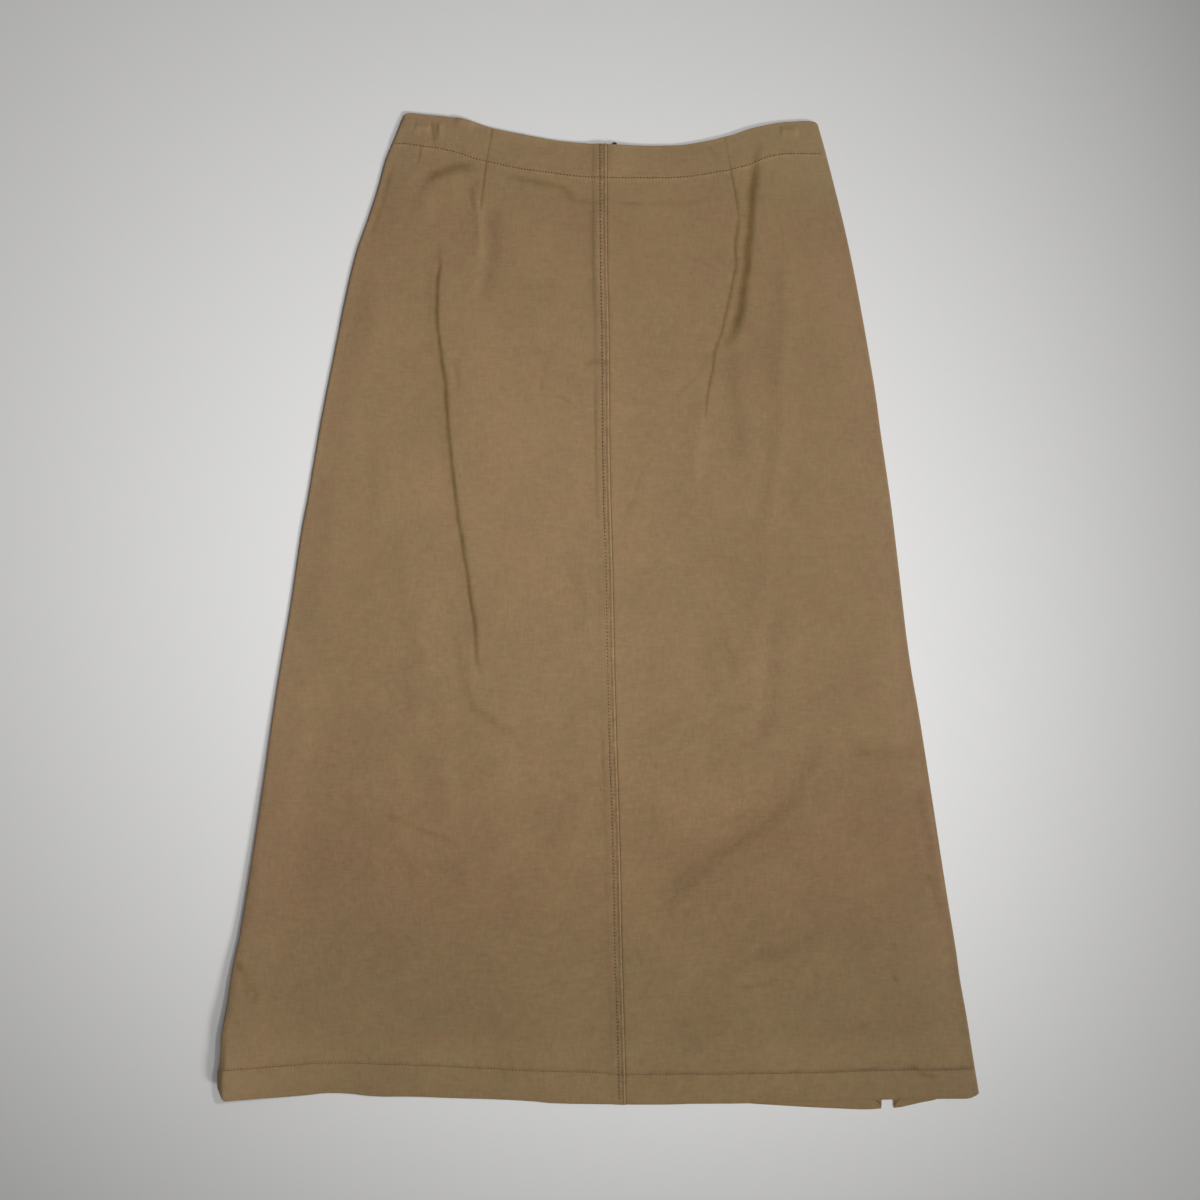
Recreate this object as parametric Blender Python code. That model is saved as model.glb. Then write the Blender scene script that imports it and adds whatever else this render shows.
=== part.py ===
"""Long A-line utility skirt in cotton twill, laid flat with its front up.

The hidden back lies on the surface and the front lies on the back. Both are
walls of cloth, cut in panels that meet at the seams. X runs across the skirt,
Y from hem to waist, Z up from the surface; the origin is at the middle of the
skirt's outline, on the surface. Sizes are in millimetres until the mesh is made.
"""
import math
from bisect import bisect_right
from typing import NamedTuple

import bmesh
import bpy

MILLIMETRE = 0.001

# Cloth and construction
CLOTH = 1.5            # wall of one layer of twill
BAND_EXTRA = 0.6       # what the turned cloth of the hem and facing adds
BAND_DEPTH = 28.5      # depth of the hem and of the waist facing
BAND_STEP = 2.5        # run of the step at a band's inner edge
SEAM_GAP = 0.3         # clearance between pieces that touch
AIR = 1.4              # room between front and back away from the edges
EDGE_RUN = 30.0        # distance from an edge over which the front settles on the back
EDGE_ROUND = 0.5       # what a pressed edge loses in height
ROUND_RUN = 4.0        # distance from an edge over which it does
LAP_WIDTH = 12.3       # width of the lapped centre seam
LAP_EXTRA = 0.8        # what the seam's allowances add below the lap
LAP_STEP = 1.0         # run of the step where the allowances end
DART_DEPTH = 0.7       # groove along a dart's stitched line
DART_REACH = 4.0       # half width of that groove
DART_FADE = 30.0       # run over which a dart dies out at its point
UNDERSIDE_SHARE = 0.65  # share of a fold's height that the inner side follows
BACK_SHORTER = 1.8     # how far the back's waist edge stays below the front's

# Lower left corner, which lies clear of the surface
CORNER = (-334.9, -431.1)
LIFT_HEIGHT = 10.0
LIFT_ACROSS = 95.0     # how far in from the corner the lift reaches
LIFT_ALONG = 270.0     # how far up the side it reaches

# Zip and hook at the top of the back's centre seam
ZIP_TOP = 380.0        # just below the facing
ZIP_LENGTH = 180.0
ZIP_WIDTH = 22.0
ZIP_THICK = 1.0
HOOK_WIDTH = 4.8
HOOK_LENGTH = 13.0
HOOK_THICK = 0.9
HOOK_PROUD = 2.6       # how far its tip stands over the waist edge
HOOK_TIP_SIDES = 10

# Seam lines, dart lines and side edges: x of the line at each y, waist to hem
LEFT_SIDE = {438.7: -169.0, 397.0: -187.5, 317.0: -213.0, 229.0: -232.5, 97.0: -257.0,
             -78.0: -285.0, -254.0: -311.5, -386.0: -332.6, -431.0: -334.9}
RIGHT_SIDE = {427.5: 193.6, 397.0: 201.5, 317.0: 221.0, 229.0: 237.6, 97.0: 257.0,
              -78.0: 280.0, -254.0: 307.0, -425.0: 334.9}
CENTRE_FRONT = {411.0: 7.9, 194.0: 9.7, -78.0: 12.3, -325.0: 22.4, -433.0: 24.5}
LEFT_FOLD_FOOT = {440.0: -131.0, 326.0: -139.5, 276.0: -141.7, 197.0: -135.5, 75.0: -123.0,
                  -10.0: -111.0, -89.0: -100.0, -250.0: -92.0, -433.0: -88.0}
LEFT_DART = {425.0: -94.2, 350.0: -103.6, 200.0: -93.0, 0.0: -68.0, -433.0: -46.0}
RIGHT_DART = {414.0: 110.9, 388.0: 116.0, 344.0: 122.4, 290.0: 118.0, 230.0: 103.8,
              168.0: 93.8, 103.0: 86.0, -100.0: 84.0, -433.0: 100.0}
RIGHT_ROLL = {423.0: 142.3, 381.0: 135.5, 332.0: 132.9, 290.0: 129.4, 256.0: 125.0,
              200.0: 118.0, 100.0: 112.0, -100.0: 112.0, -433.0: 132.0}
CENTRE_BACK = {411.0: 13.6, -436.0: 20.0}
SLIT_SEAM = {427.0: 150.0, 230.0: 190.0, -78.0: 233.0, -294.0: 260.2, -438.0: 260.6}

# Edges that run across: y of the edge at each x, left to right
WAIST = {-169.0: 438.7, -151.0: 436.7, -124.0: 433.9, -110.0: 430.6, -95.0: 424.8, -70.0: 420.3,
         -30.0: 413.1, 19.4: 409.8, 42.0: 408.8, 68.6: 409.8, 88.9: 411.8, 116.0: 417.9,
         136.4: 424.3, 163.7: 430.0, 183.9: 431.0, 193.6: 427.5}
FRONT_HEM = {-334.9: -421.0, -328.7: -431.1, -262.0: -426.1, -218.0: -424.4, -130.0: -427.9,
             -42.0: -432.3, 45.8: -434.1, 123.0: -433.4, 246.0: -429.7, 324.7: -429.2, 334.9: -424.2}
BACK_HEM = {-334.9: -419.5, -328.7: -429.5, -262.0: -424.6, -218.0: -422.9, -130.0: -426.4,
            -42.0: -430.8, 80.0: -431.9, 160.0: -435.7, 205.9: -437.8, 235.8: -438.8, 249.4: -438.0,
            260.5: -436.4, 266.0: -437.3, 295.0: -430.6, 324.7: -427.8, 334.9: -422.8}

# Where each dart runs out, left and right
DART_POINTS = (350.0, 344.0)

# The slit: the open end of its seam, which spreads towards the hem
SLIT_TOP = -294.0
SLIT_FOOT = -438.0
SLIT_SPREAD = 10.8

# Rows of the mesh: distances in from the waist and hem edges, and even rows between
EDGE_ROWS = (0.0, ROUND_RUN, BAND_DEPTH / 2, BAND_DEPTH - BAND_STEP, BAND_DEPTH)
FRONT_MIDDLE_ROWS = 31
BACK_MIDDLE_ROWS = 17
MEETING_STEPS = 12     # steps that bring a column's end onto its edge

# Columns of the mesh: distances from a side edge, a fold's foot and a dart
SIDE_COLUMN = 5.0
BEFORE_FOLD = 12.0
FOLD_COLUMNS = (0.0, 4.5, 10.0, 20.0)
DART_COLUMNS = (-DART_REACH, 0.0, DART_REACH)
LIFT_COLUMNS = (0.0, 25.0, 55.0, LIFT_ACROSS)

# Finishes: base colour, roughness, metallic
TWILL = ("tan_twill", (0.29, 0.195, 0.105), 0.9, 0.0)
TWILL_REVERSE = ("tan_twill_reverse", (0.27, 0.18, 0.10), 0.92, 0.0)
ZIP_TAPE = ("zip_tape", (0.24, 0.165, 0.095), 0.8, 0.0)
DARK_METAL = ("dark_metal", (0.05, 0.047, 0.045), 0.45, 0.9)


class Fold(NamedTuple):
    """A soft ridge, or a trough where height is below zero, along a path."""
    name: str
    height: float
    left: float      # reach on the -x side of a path that runs down
    right: float     # reach on its +x side
    fade: float      # run over which the fold dies out at each end
    path: tuple


FOLDS = (
    Fold("left_step", 3.4, 7, 45, 60,
         ((-130, 330), (-132, 276), (-126, 197), (-114, 75), (-102, -10), (-91, -89), (-66, -112))),
    Fold("waist_roll", 1.7, 5, 5, 30,
         ((136, 424), (127, 380), (128, 344), (124, 290), (117, 256), (106, 236))),
    Fold("waist_step", 2.4, 7, 38, 45,
         ((152, 424), (145, 381), (143, 340), (139, 290), (134, 256), (118, 225))),
    Fold("dart_crease", 1.3, 6, 14, 60, ((101, 220), (97, 190), (92, 150), (86, 103))),
    Fold("waist_arc", -0.9, 9, 12, 20, ((-154, 378), (-132, 390), (-112, 387))),
    Fold("dart_hollow", -1.0, 12, 14, 30, ((-90, 354), (-88, 310), (-100, 268))),
    Fold("right_soft", 1.3, 12, 24, 60, ((165, 268), (161, 205), (155, 114), (142, 48))),
    Fold("left_soft", 1.2, 14, 26, 50, ((-193, 252), (-191, 211), (-195, 145), (-197, 87))),
    Fold("left_low", 1.2, 14, 28, 40, ((-177, 68), (-161, 2), (-149, -49))),
    Fold("press_line", -0.7, 10, 10, 30, ((-116, 233), (-46, 229), (-14, 215), (19, 221), (100, 233))),
    Fold("thigh_ridge", 1.6, 22, 18, 40, ((150, 84), (142, 10), (144, -60))),
    Fold("knee_trough", -0.9, 24, 24, 40, ((-110, -167), (-60, -184), (-16, -196))),
    Fold("left_knee", 1.6, 14, 14, 35, ((-187, -178), (-150, -196), (-118, -240))),
    Fold("right_knee", 2.6, 14, 34, 60,
         ((201, -102), (168, -167), (104, -214), (57, -247), (25, -274))),
    Fold("right_edge", 1.4, 14, 18, 20, ((238, -133), (262, -127), (284, -128))),
    Fold("right_shin", 1.5, 16, 22, 35, ((104, -318), (168, -291), (215, -277))),
    Fold("left_shin", 1.3, 20, 20, 35, ((-240, -120), (-228, -200), (-246, -280))),
    Fold("left_cuff", -0.8, 8, 10, 14, ((-314, -304), (-306, -320), (-306, -340))),
    Fold("centre_lap", 0.9, 10, 10, 12, ((8, 411), (10, 194), (12, -78), (22, -325), (24, -433))),
    Fold("hook_cover", 2.6, 16, 16, 14, ((13, 434), (13, 378))),
)


def smooth_line(table):
    """Return the smooth function through a table of {position: value}."""
    knots = sorted(table.items())
    places = [place for place, _ in knots]
    values = [value for _, value in knots]
    slopes = [(values[i + 1] - values[i]) / (places[i + 1] - places[i]) for i in range(len(knots) - 1)]
    tangents = [slopes[0]]
    for before, after in zip(slopes, slopes[1:]):
        same_way = before * after > 0
        tangents.append(2 * before * after / (before + after) if same_way else 0.0)
    tangents.append(slopes[-1])

    def value_at(place):
        i = min(max(bisect_right(places, place) - 1, 0), len(slopes) - 1)
        run = places[i + 1] - places[i]
        t = min(max((place - places[i]) / run, 0.0), 1.0)
        rise = (2 * t ** 3 - 3 * t ** 2 + 1) * values[i] + (3 * t ** 2 - 2 * t ** 3) * values[i + 1]
        lean = (t ** 3 - 2 * t ** 2 + t) * tangents[i] + (t ** 3 - t ** 2) * tangents[i + 1]
        return rise + lean * run

    return value_at


left_side = smooth_line(LEFT_SIDE)
right_side = smooth_line(RIGHT_SIDE)
waist = smooth_line(WAIST)
front_hem = smooth_line(FRONT_HEM)
back_hem = smooth_line(BACK_HEM)
centre_front = smooth_line(CENTRE_FRONT)
centre_back = smooth_line(CENTRE_BACK)
slit_seam = smooth_line(SLIT_SEAM)
left_fold_foot = smooth_line(LEFT_FOLD_FOOT)
right_roll = smooth_line(RIGHT_ROLL)
dart_lines = (smooth_line(LEFT_DART), smooth_line(RIGHT_DART))


def shifted(line, offset):
    """Return the line moved sideways by an offset."""
    return lambda y: line(y) + offset


def between(first, second, share):
    """Return the line at a share of the way from one line to another."""
    return lambda y: first(y) + (second(y) - first(y)) * share


def spread(first, second, count):
    """Return the lines that divide the strip between two lines, without its ends."""
    return [between(first, second, step / (count + 1)) for step in range(1, count + 1)]


def ease(share):
    """Return a share from 0 to 1, eased at both ends."""
    share = min(max(share, 0.0), 1.0)
    return share * share * (3 - 2 * share)


def back_waist(x):
    """Return the y of the back's waist edge."""
    return waist(x) - BACK_SHORTER


def slit_left(y):
    """Return the x of the slit's left edge, and of its seam above it."""
    open_share = max(0.0, (SLIT_TOP - y) / (SLIT_TOP - SLIT_FOOT))
    return slit_seam(y) - SEAM_GAP - SLIT_SPREAD * open_share


def lift(x, y):
    """Return how far the lower left corner holds the cloth off the surface."""
    across = (x - CORNER[0]) / LIFT_ACROSS
    along = (y - CORNER[1]) / LIFT_ALONG
    return LIFT_HEIGHT * max(0.0, 1.0 - across - along) ** 2


def band_share(x, y):
    """Return 1 on the hem and facing, 0 inside them."""
    inside = min(waist(x) - y, y - front_hem(x))
    return 1.0 - ease((inside - BAND_DEPTH + BAND_STEP) / BAND_STEP)


def fold_height(fold, x, y):
    """Return the height of one fold at a place."""
    travelled = 0.0
    length = sum(math.dist(a, b) for a, b in zip(fold.path, fold.path[1:]))
    nearest = (math.inf, 0.0, 0.0)
    for (ax, ay), (bx, by) in zip(fold.path, fold.path[1:]):
        dx, dy = bx - ax, by - ay
        run = math.hypot(dx, dy)
        share = min(max(((x - ax) * dx + (y - ay) * dy) / run ** 2, 0.0), 1.0)
        away = math.dist((x, y), (ax + dx * share, ay + dy * share))
        side = dx * (y - ay) - dy * (x - ax)
        nearest = min(nearest, (away, side, travelled + run * share))
        travelled += run
    away, side, along = nearest
    reach = fold.right if side > 0 else fold.left
    ends = ease(min(along, length - along) / fold.fade)
    return fold.height * ends * math.exp(-((away / reach) ** 2))


def folds_at(x, y):
    """Return the height that all the folds add."""
    return sum(fold_height(fold, x, y) for fold in FOLDS)


def from_edge(x, y):
    """Return the distance from the nearest edge of the front."""
    return min(x - left_side(y), right_side(y) - x, waist(x) - y, y - front_hem(x))


def back_top(x, y):
    """Return the height of the back's inner side."""
    return lift(x, y) + CLOTH + BAND_EXTRA * band_share(x, y)


def front_inner(x, y):
    """Return the height of the front's inner side."""
    room = AIR * ease(from_edge(x, y) / EDGE_RUN)
    return back_top(x, y) + SEAM_GAP + room + UNDERSIDE_SHARE * folds_at(x, y)


def dart_groove(x, y):
    """Return the depth of the groove along the nearer dart."""
    which = 0 if x < 0 else 1
    along = ease((y - DART_POINTS[which]) / DART_FADE)
    across = max(0.0, 1.0 - abs(x - dart_lines[which](y)) / DART_REACH)
    return DART_DEPTH * along * across


def front_outer(x, y):
    """Return the height of the front's outer side."""
    wall_height = CLOTH + BAND_EXTRA * band_share(x, y) + (1 - UNDERSIDE_SHARE) * folds_at(x, y)
    rounding = EDGE_ROUND * (1.0 - ease(from_edge(x, y) / ROUND_RUN))
    return front_inner(x, y) + wall_height - rounding - dart_groove(x, y)


def lapped_outer(x, y):
    """Return the height of the left panel's outer side, with the lap's allowances."""
    from_seam = centre_front(y) - x
    return front_outer(x, y) + LAP_EXTRA * ease((LAP_WIDTH + LAP_STEP - from_seam) / LAP_STEP)


def meeting_point(line, edge):
    """Return the y at which a line that runs down meets an edge that runs across."""
    y = edge(0.0)
    for _ in range(MEETING_STEPS):
        y = edge(line(y))
    return y


def grid_points(columns, top_edge, bottom_edge, middle_rows):
    """Return the plan of a panel: for each column, its points from waist to hem."""
    grid = []
    for line in columns:
        high = meeting_point(line, top_edge)
        low = meeting_point(line, bottom_edge)
        upper = [high - distance for distance in EDGE_ROWS]
        lower = [low + distance for distance in reversed(EDGE_ROWS)]
        gap = (upper[-1] - lower[0]) / (middle_rows + 1)
        middle = [upper[-1] - gap * step for step in range(1, middle_rows + 1)]
        grid.append([(line(y), y) for y in upper + middle + lower])
    return grid


def finish(name, colour, roughness, metallic):
    """Return the material of that name, made once."""
    material = bpy.data.materials.get(name)
    if material is None:
        material = bpy.data.materials.new(name)
        material.use_nodes = True
        shader = material.node_tree.nodes["Principled BSDF"]
        shader.inputs["Base Color"].default_value = (*colour, 1.0)
        shader.inputs["Roughness"].default_value = roughness
        shader.inputs["Metallic"].default_value = metallic
        material.diffuse_color = (*colour, 1.0)
    return material


def add_object(name, mesh_data, look, place=(0.0, 0.0, 0.0)):
    """Turn a bmesh in millimetres into a named object in metres, at its place."""
    bmesh.ops.scale(mesh_data, vec=(MILLIMETRE,) * 3, verts=mesh_data.verts)
    bmesh.ops.recalc_face_normals(mesh_data, faces=mesh_data.faces)
    mesh = bpy.data.meshes.new(name)
    mesh_data.to_mesh(mesh)
    mesh_data.free()
    mesh.materials.append(finish(*look))
    piece = bpy.data.objects.new(name, mesh)
    piece.location = [value * MILLIMETRE for value in place]
    bpy.context.scene.collection.objects.link(piece)


def add_panel(name, plan, outer, inner, look):
    """Make a closed wall of cloth over a plan, between two height functions."""
    mesh_data = bmesh.new()
    over = [[mesh_data.verts.new((x, y, outer(x, y))) for x, y in column] for column in plan]
    under = [[mesh_data.verts.new((x, y, inner(x, y))) for x, y in column] for column in plan]
    for i in range(len(plan) - 1):
        for j in range(len(plan[0]) - 1):
            square = ((i, j), (i, j + 1), (i + 1, j + 1), (i + 1, j))
            mesh_data.faces.new([over[a][b] for a, b in square])
            mesh_data.faces.new([under[a][b] for a, b in reversed(square)])
    last_column = len(plan) - 1
    last_row = len(plan[0]) - 1
    rim = [(0, j) for j in range(last_row)] + [(i, last_row) for i in range(last_column)]
    rim += [(last_column, j) for j in range(last_row, 0, -1)] + [(i, 0) for i in range(last_column, 0, -1)]
    for (a, b), (c, d) in zip(rim, rim[1:] + rim[:1]):
        mesh_data.faces.new((over[a][b], under[a][b], under[c][d], over[c][d]))
    add_object(name, mesh_data, look)


def add_front():
    """Make the two front panels, which meet at the edge of the lapped centre seam."""
    lap_end = shifted(centre_front, -LAP_WIDTH - LAP_STEP)
    columns = [left_side, shifted(left_side, SIDE_COLUMN)]
    columns += spread(columns[-1], shifted(left_fold_foot, -BEFORE_FOLD), 4)
    columns += [shifted(left_fold_foot, offset) for offset in (-BEFORE_FOLD, *FOLD_COLUMNS)]
    columns += spread(columns[-1], shifted(dart_lines[0], -DART_REACH), 1)
    columns += [shifted(dart_lines[0], offset) for offset in DART_COLUMNS]
    columns += spread(columns[-1], lap_end, 5)
    columns += [lap_end, shifted(centre_front, -LAP_WIDTH), centre_front]
    plan = grid_points(columns, waist, front_hem, FRONT_MIDDLE_ROWS)
    add_panel("front_left_panel", plan, lapped_outer, front_inner, TWILL)

    columns = [shifted(centre_front, SEAM_GAP), shifted(centre_front, SIDE_COLUMN)]
    columns += spread(columns[-1], shifted(dart_lines[1], -DART_REACH), 5)
    columns += [shifted(dart_lines[1], offset) for offset in DART_COLUMNS]
    columns += [shifted(right_roll, offset) for offset in FOLD_COLUMNS]
    columns += spread(columns[-1], shifted(right_side, -SIDE_COLUMN), 6)
    columns += [shifted(right_side, -SIDE_COLUMN), right_side]
    plan = grid_points(columns, waist, front_hem, FRONT_MIDDLE_ROWS)
    add_panel("front_right_panel", plan, front_outer, front_inner, TWILL)


def add_back():
    """Make the three back panels: the zip's seam is left of the slit's seam."""
    zip_seam = shifted(centre_back, -SEAM_GAP)
    left_columns = [shifted(left_side, offset) for offset in LIFT_COLUMNS]
    left_columns += spread(left_columns[-1], zip_seam, 1) + [zip_seam]
    right_columns = [centre_back] + spread(centre_back, slit_left, 2) + [slit_left]
    side_columns = [slit_seam] + spread(slit_seam, right_side, 1) + [right_side]
    panels = {
        "back_left_panel": left_columns,
        "back_right_panel": right_columns,
        "back_side_panel": side_columns,
    }
    for name, columns in panels.items():
        plan = grid_points(columns, back_waist, back_hem, BACK_MIDDLE_ROWS)
        add_panel(name, plan, back_top, lift, TWILL_REVERSE)


def add_zip():
    """Make the closed zip, a flat tape inside the back's centre seam."""
    mesh_data = bmesh.new()
    bmesh.ops.create_cube(mesh_data, size=1.0)
    bmesh.ops.scale(mesh_data, vec=(ZIP_WIDTH, ZIP_LENGTH, ZIP_THICK), verts=mesh_data.verts)
    middle = ZIP_TOP - ZIP_LENGTH / 2
    place = (centre_back(middle), middle, CLOTH + SEAM_GAP + ZIP_THICK / 2)
    add_object("back_zip", mesh_data, ZIP_TAPE, place)


def add_hook():
    """Make the flat hook whose round tip stands over the waist edge."""
    mesh_data = bmesh.new()
    radius = HOOK_WIDTH / 2
    turns = [math.pi * step / HOOK_TIP_SIDES for step in range(HOOK_TIP_SIDES + 1)]
    outline = [(radius * math.cos(turn), radius * math.sin(turn)) for turn in turns]
    outline += [(-radius, radius - HOOK_LENGTH), (radius, radius - HOOK_LENGTH)]
    lower = mesh_data.faces.new([mesh_data.verts.new((x, y, 0.0)) for x, y in outline])
    raised = bmesh.ops.extrude_face_region(mesh_data, geom=[lower])
    upper = [item for item in raised["geom"] if isinstance(item, bmesh.types.BMVert)]
    bmesh.ops.translate(mesh_data, vec=(0.0, 0.0, HOOK_THICK), verts=upper)
    x = centre_back(ZIP_TOP)
    place = (x, waist(x) + HOOK_PROUD - radius, CLOTH + BAND_EXTRA + SEAM_GAP)
    add_object("waist_hook", mesh_data, DARK_METAL, place)


def main():
    """Build the skirt in an emptied scene."""
    for old in list(bpy.data.objects):
        bpy.data.objects.remove(old, do_unlink=True)
    add_front()
    add_back()
    add_zip()
    add_hook()


main()
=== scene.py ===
"""Finish of a long A-line utility skirt in cotton twill, laid flat with its front up.

The front and back are thin panels of cloth over the frame's solids, with their
folds, pressed lines, lapped seam, darts, stitching and slit. Laid out as an
add-on: one operator for each group of pieces and one for the stage.

X runs across the skirt, Y from hem to waist, Z up from the surface. Lengths in
the tables are in millimetres; the settings and the meshes are in metres.
"""
import math
from typing import NamedTuple

import bpy
import numpy as np
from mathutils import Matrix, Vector

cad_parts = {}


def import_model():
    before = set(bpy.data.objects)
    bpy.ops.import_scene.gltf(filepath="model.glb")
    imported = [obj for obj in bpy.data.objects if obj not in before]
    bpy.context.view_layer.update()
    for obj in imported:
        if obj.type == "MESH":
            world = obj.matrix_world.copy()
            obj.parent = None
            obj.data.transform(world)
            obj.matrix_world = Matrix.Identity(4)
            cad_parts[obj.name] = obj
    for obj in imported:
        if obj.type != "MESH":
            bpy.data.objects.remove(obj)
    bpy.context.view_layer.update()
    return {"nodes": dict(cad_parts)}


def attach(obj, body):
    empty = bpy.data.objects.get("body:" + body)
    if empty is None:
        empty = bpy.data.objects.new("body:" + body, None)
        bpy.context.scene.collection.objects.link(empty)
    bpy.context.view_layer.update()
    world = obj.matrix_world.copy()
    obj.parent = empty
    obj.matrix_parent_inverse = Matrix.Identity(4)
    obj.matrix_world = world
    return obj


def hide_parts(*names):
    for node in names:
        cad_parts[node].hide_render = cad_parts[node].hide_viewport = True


bl_info = {
    "name": "Laid Twill Skirt",
    "version": (1, 0, 0),
    "blender": (4, 5, 0),
    "location": "View3D > Sidebar > Skirt",
    "description": "Makes the cloth, stitching, zip tape and stage of a twill skirt laid flat",
    "category": "Add Mesh",
}

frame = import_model()

MILLIMETRE = 0.001
SEED = 4332

# Cloth and construction
SOLID_WALL = 1.5       # wall of one layer in the frame's solids
SOLID_GAP = 0.3        # their clearance between front and back
AIR = 1.4              # room between front and back away from the edges
EDGE_RUN = 30.0        # distance from an edge over which the front settles on the back
BAND_EXTRA = 0.6       # what the turned cloth of hem and facing adds
BAND_STEP = 2.5        # run of the step at a band's inner edge
BAND_RISE = 1.45       # how much of it lifts the front's outer side
BAND_THICKER = 0.9     # how much of it thickens each layer
FACING_DEPTH = 28.0    # waist edge to where the facing starts to hide a dart's line
FACING_RUN = 5.0
BACK_HEM_DEPTH = 26.6  # the back's hem edge to its topstitching
SEAM_LEVEL = 1.62      # height at which front and back meet along the sides
SEAM_SLIT = 0.06       # hairline between them
SEAM_HOLD = 0.3        # how far in from a side the layers keep to that height
SEAM_RELEASE = 2.5     # run over which they leave it
SIDE_RADIUS = 1.7      # roll of the back's cloth round a side seam
LEFT_ROLL = 2.6        # fuller roll of the front round the left side seam
RIGHT_ROLL = 3.0       # and round the right one, which lies flatter
WAIST_SETTLE = 0.9     # how far the front sinks onto the back at the waist edge
WAIST_RUN = 6.0
FOLD_RADIUS = 0.75     # roll of a turned edge at hem, waist and lap
BACK_SHORTER = 1.8     # how far the back's waist edge stays below the front's

# Centre seam, which laps from the left
LAP_WIDTH = 10.4       # lapped edge to the end of its allowances
LAP_EXTRA = 0.6        # what the allowances add below the lap
LAP_STEP = 3.2         # run of the step where they end
FIRST_ROW = 2.7        # lapped edge to the first row of topstitching
SECOND_ROW = 5.95      # lapped edge to the second
UNDERLAP = 9.0         # how far the right panel goes on under the lap
LAP_CLEAR = 0.12       # clearance between lap and underlap
LAP_MELD = 2.0         # run over which the lap's inner side comes to lie on the underlap
LAP_THICKER = 0.1      # what the allowances add to the lap's own layer
LAP_RIDGES = ((1.5, 0.6, 0.9), (4.7, 0.14, 1.2))   # from the lapped edge: distance, height, reach
RIDGE_UNEVEN = 0.5
UNDERLAP_DROP = 0.15   # how far the underlap's turned edge sinks
UNDERLAP_RUN = 1.0

# How strongly the ends of the allowances press through the lap, and how much painted shade they show, at each
# y
ALLOWANCE_SHOWS = {411.0: 0.7, 370.0: 1.0, 240.0: 0.8, 212.0: 0.4, 190.0: 1.2, 110.0: 0.9, 60.0: 0.2,
                   -95.0: 0.2, -130.0: 0.9, -160.0: 0.3, -433.0: 0.3}

# Lower left corner, which lies clear of the surface
LIFT_ALONG_SIDE = {0.0: 0.0, -78.0: 0.9, -166.0: 2.8, -254.0: 4.1, -298.0: 5.6, -342.0: 9.2, -378.0: 11.8,
                   -431.0: 13.4}   # y along the left side: height there
LIFT_ACROSS = 105.0    # how far in from the side the lift reaches
LIFT_POWER = 1.6
DROOP_SHARE = 0.16     # how much of its lift the side edge loses as it turns down
DROOP_REACH = 4.6
BACK_HANG = 3.6        # how far the back hangs below the front at the lifted corner
HANG_TOP = -396.0
HANG_RUN = 26.0
HANG_ACROSS = 70.0
HANG_LIMIT = 0.45      # most of the lift that the hang may take up
FACET_TOP = -392.0     # the turned hem bends down in a flat facet instead
FACET_RUN = 12.0
FACET_WIDTH = 6.0
FACET_DROP = 4.8

# Seam lines, dart lines and side edges: x of the line at each y, waist to hem
LEFT_SIDE = {438.7: -171.3, 420.0: -178.4, 397.0: -188.0, 375.0: -193.9, 345.0: -203.6, 317.0: -213.5,
             285.0: -221.4, 229.0: -232.7, 165.0: -245.3, 97.0: -256.9, 75.0: -261.2, 45.0: -265.9,
             15.0: -270.2, -78.0: -285.2, -165.0: -297.2, -254.0: -310.7, -285.0: -315.7, -315.0: -321.6,
             -345.0: -325.6, -375.0: -330.2, -388.0: -330.5, -396.0: -331.5, -405.0: -333.7, -418.0: -333.8,
             -431.0: -332.8}
RIGHT_SIDE = {427.5: 193.6, 397.0: 202.0, 317.0: 221.4, 229.0: 237.9, 184.0: 245.2, 165.0: 247.6,
              97.0: 257.4, 40.0: 264.3, 4.0: 268.3, -26.0: 271.9, -56.0: 276.3, -86.0: 281.6, -140.0: 290.1,
              -254.0: 307.7, -300.0: 315.2, -326.0: 318.8, -356.0: 324.2, -400.0: 331.2, -425.0: 335.3}
CENTRE_FRONT = {411.0: 7.2, 380.0: 7.3, 340.0: 7.4, 300.0: 7.7, 260.0: 8.7, 220.0: 9.2, 160.0: 9.5,
                100.0: 10.5, 40.0: 12.2, 0.0: 13.0, -60.0: 14.2, -120.0: 15.8, -180.0: 17.8, -240.0: 19.3,
                -300.0: 20.4, -340.0: 21.6, -380.0: 22.8, -433.0: 24.0}
LEFT_FOLD_FOOT = {440.0: -131.0, 326.0: -139.5, 276.0: -141.7, 197.0: -135.5, 75.0: -123.0,
                  -10.0: -111.0, -89.0: -100.0, -250.0: -92.0, -433.0: -88.0}
LEFT_DART = {430.0: -93.6, 414.0: -95.7, 394.8: -99.0, 379.0: -101.2, 351.0: -103.8, 200.0: -93.0,
             0.0: -68.0, -433.0: -46.0}
RIGHT_DART = {414.0: 110.9, 388.0: 116.0, 344.0: 122.4, 290.0: 118.0, 230.0: 103.8,
              168.0: 93.8, 103.0: 86.0, -100.0: 84.0, -433.0: 100.0}
RIGHT_FOLD = {423.0: 142.3, 381.0: 135.5, 332.0: 132.9, 290.0: 129.4, 256.0: 125.0,
              200.0: 118.0, 100.0: 112.0, -100.0: 112.0, -433.0: 132.0}
CENTRE_BACK = {411.0: 13.6, -436.0: 20.0}
SLIT_SEAM = {427.0: 150.0, 230.0: 190.0, -78.0: 233.0, -294.0: 260.2, -438.0: 260.6}

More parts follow.
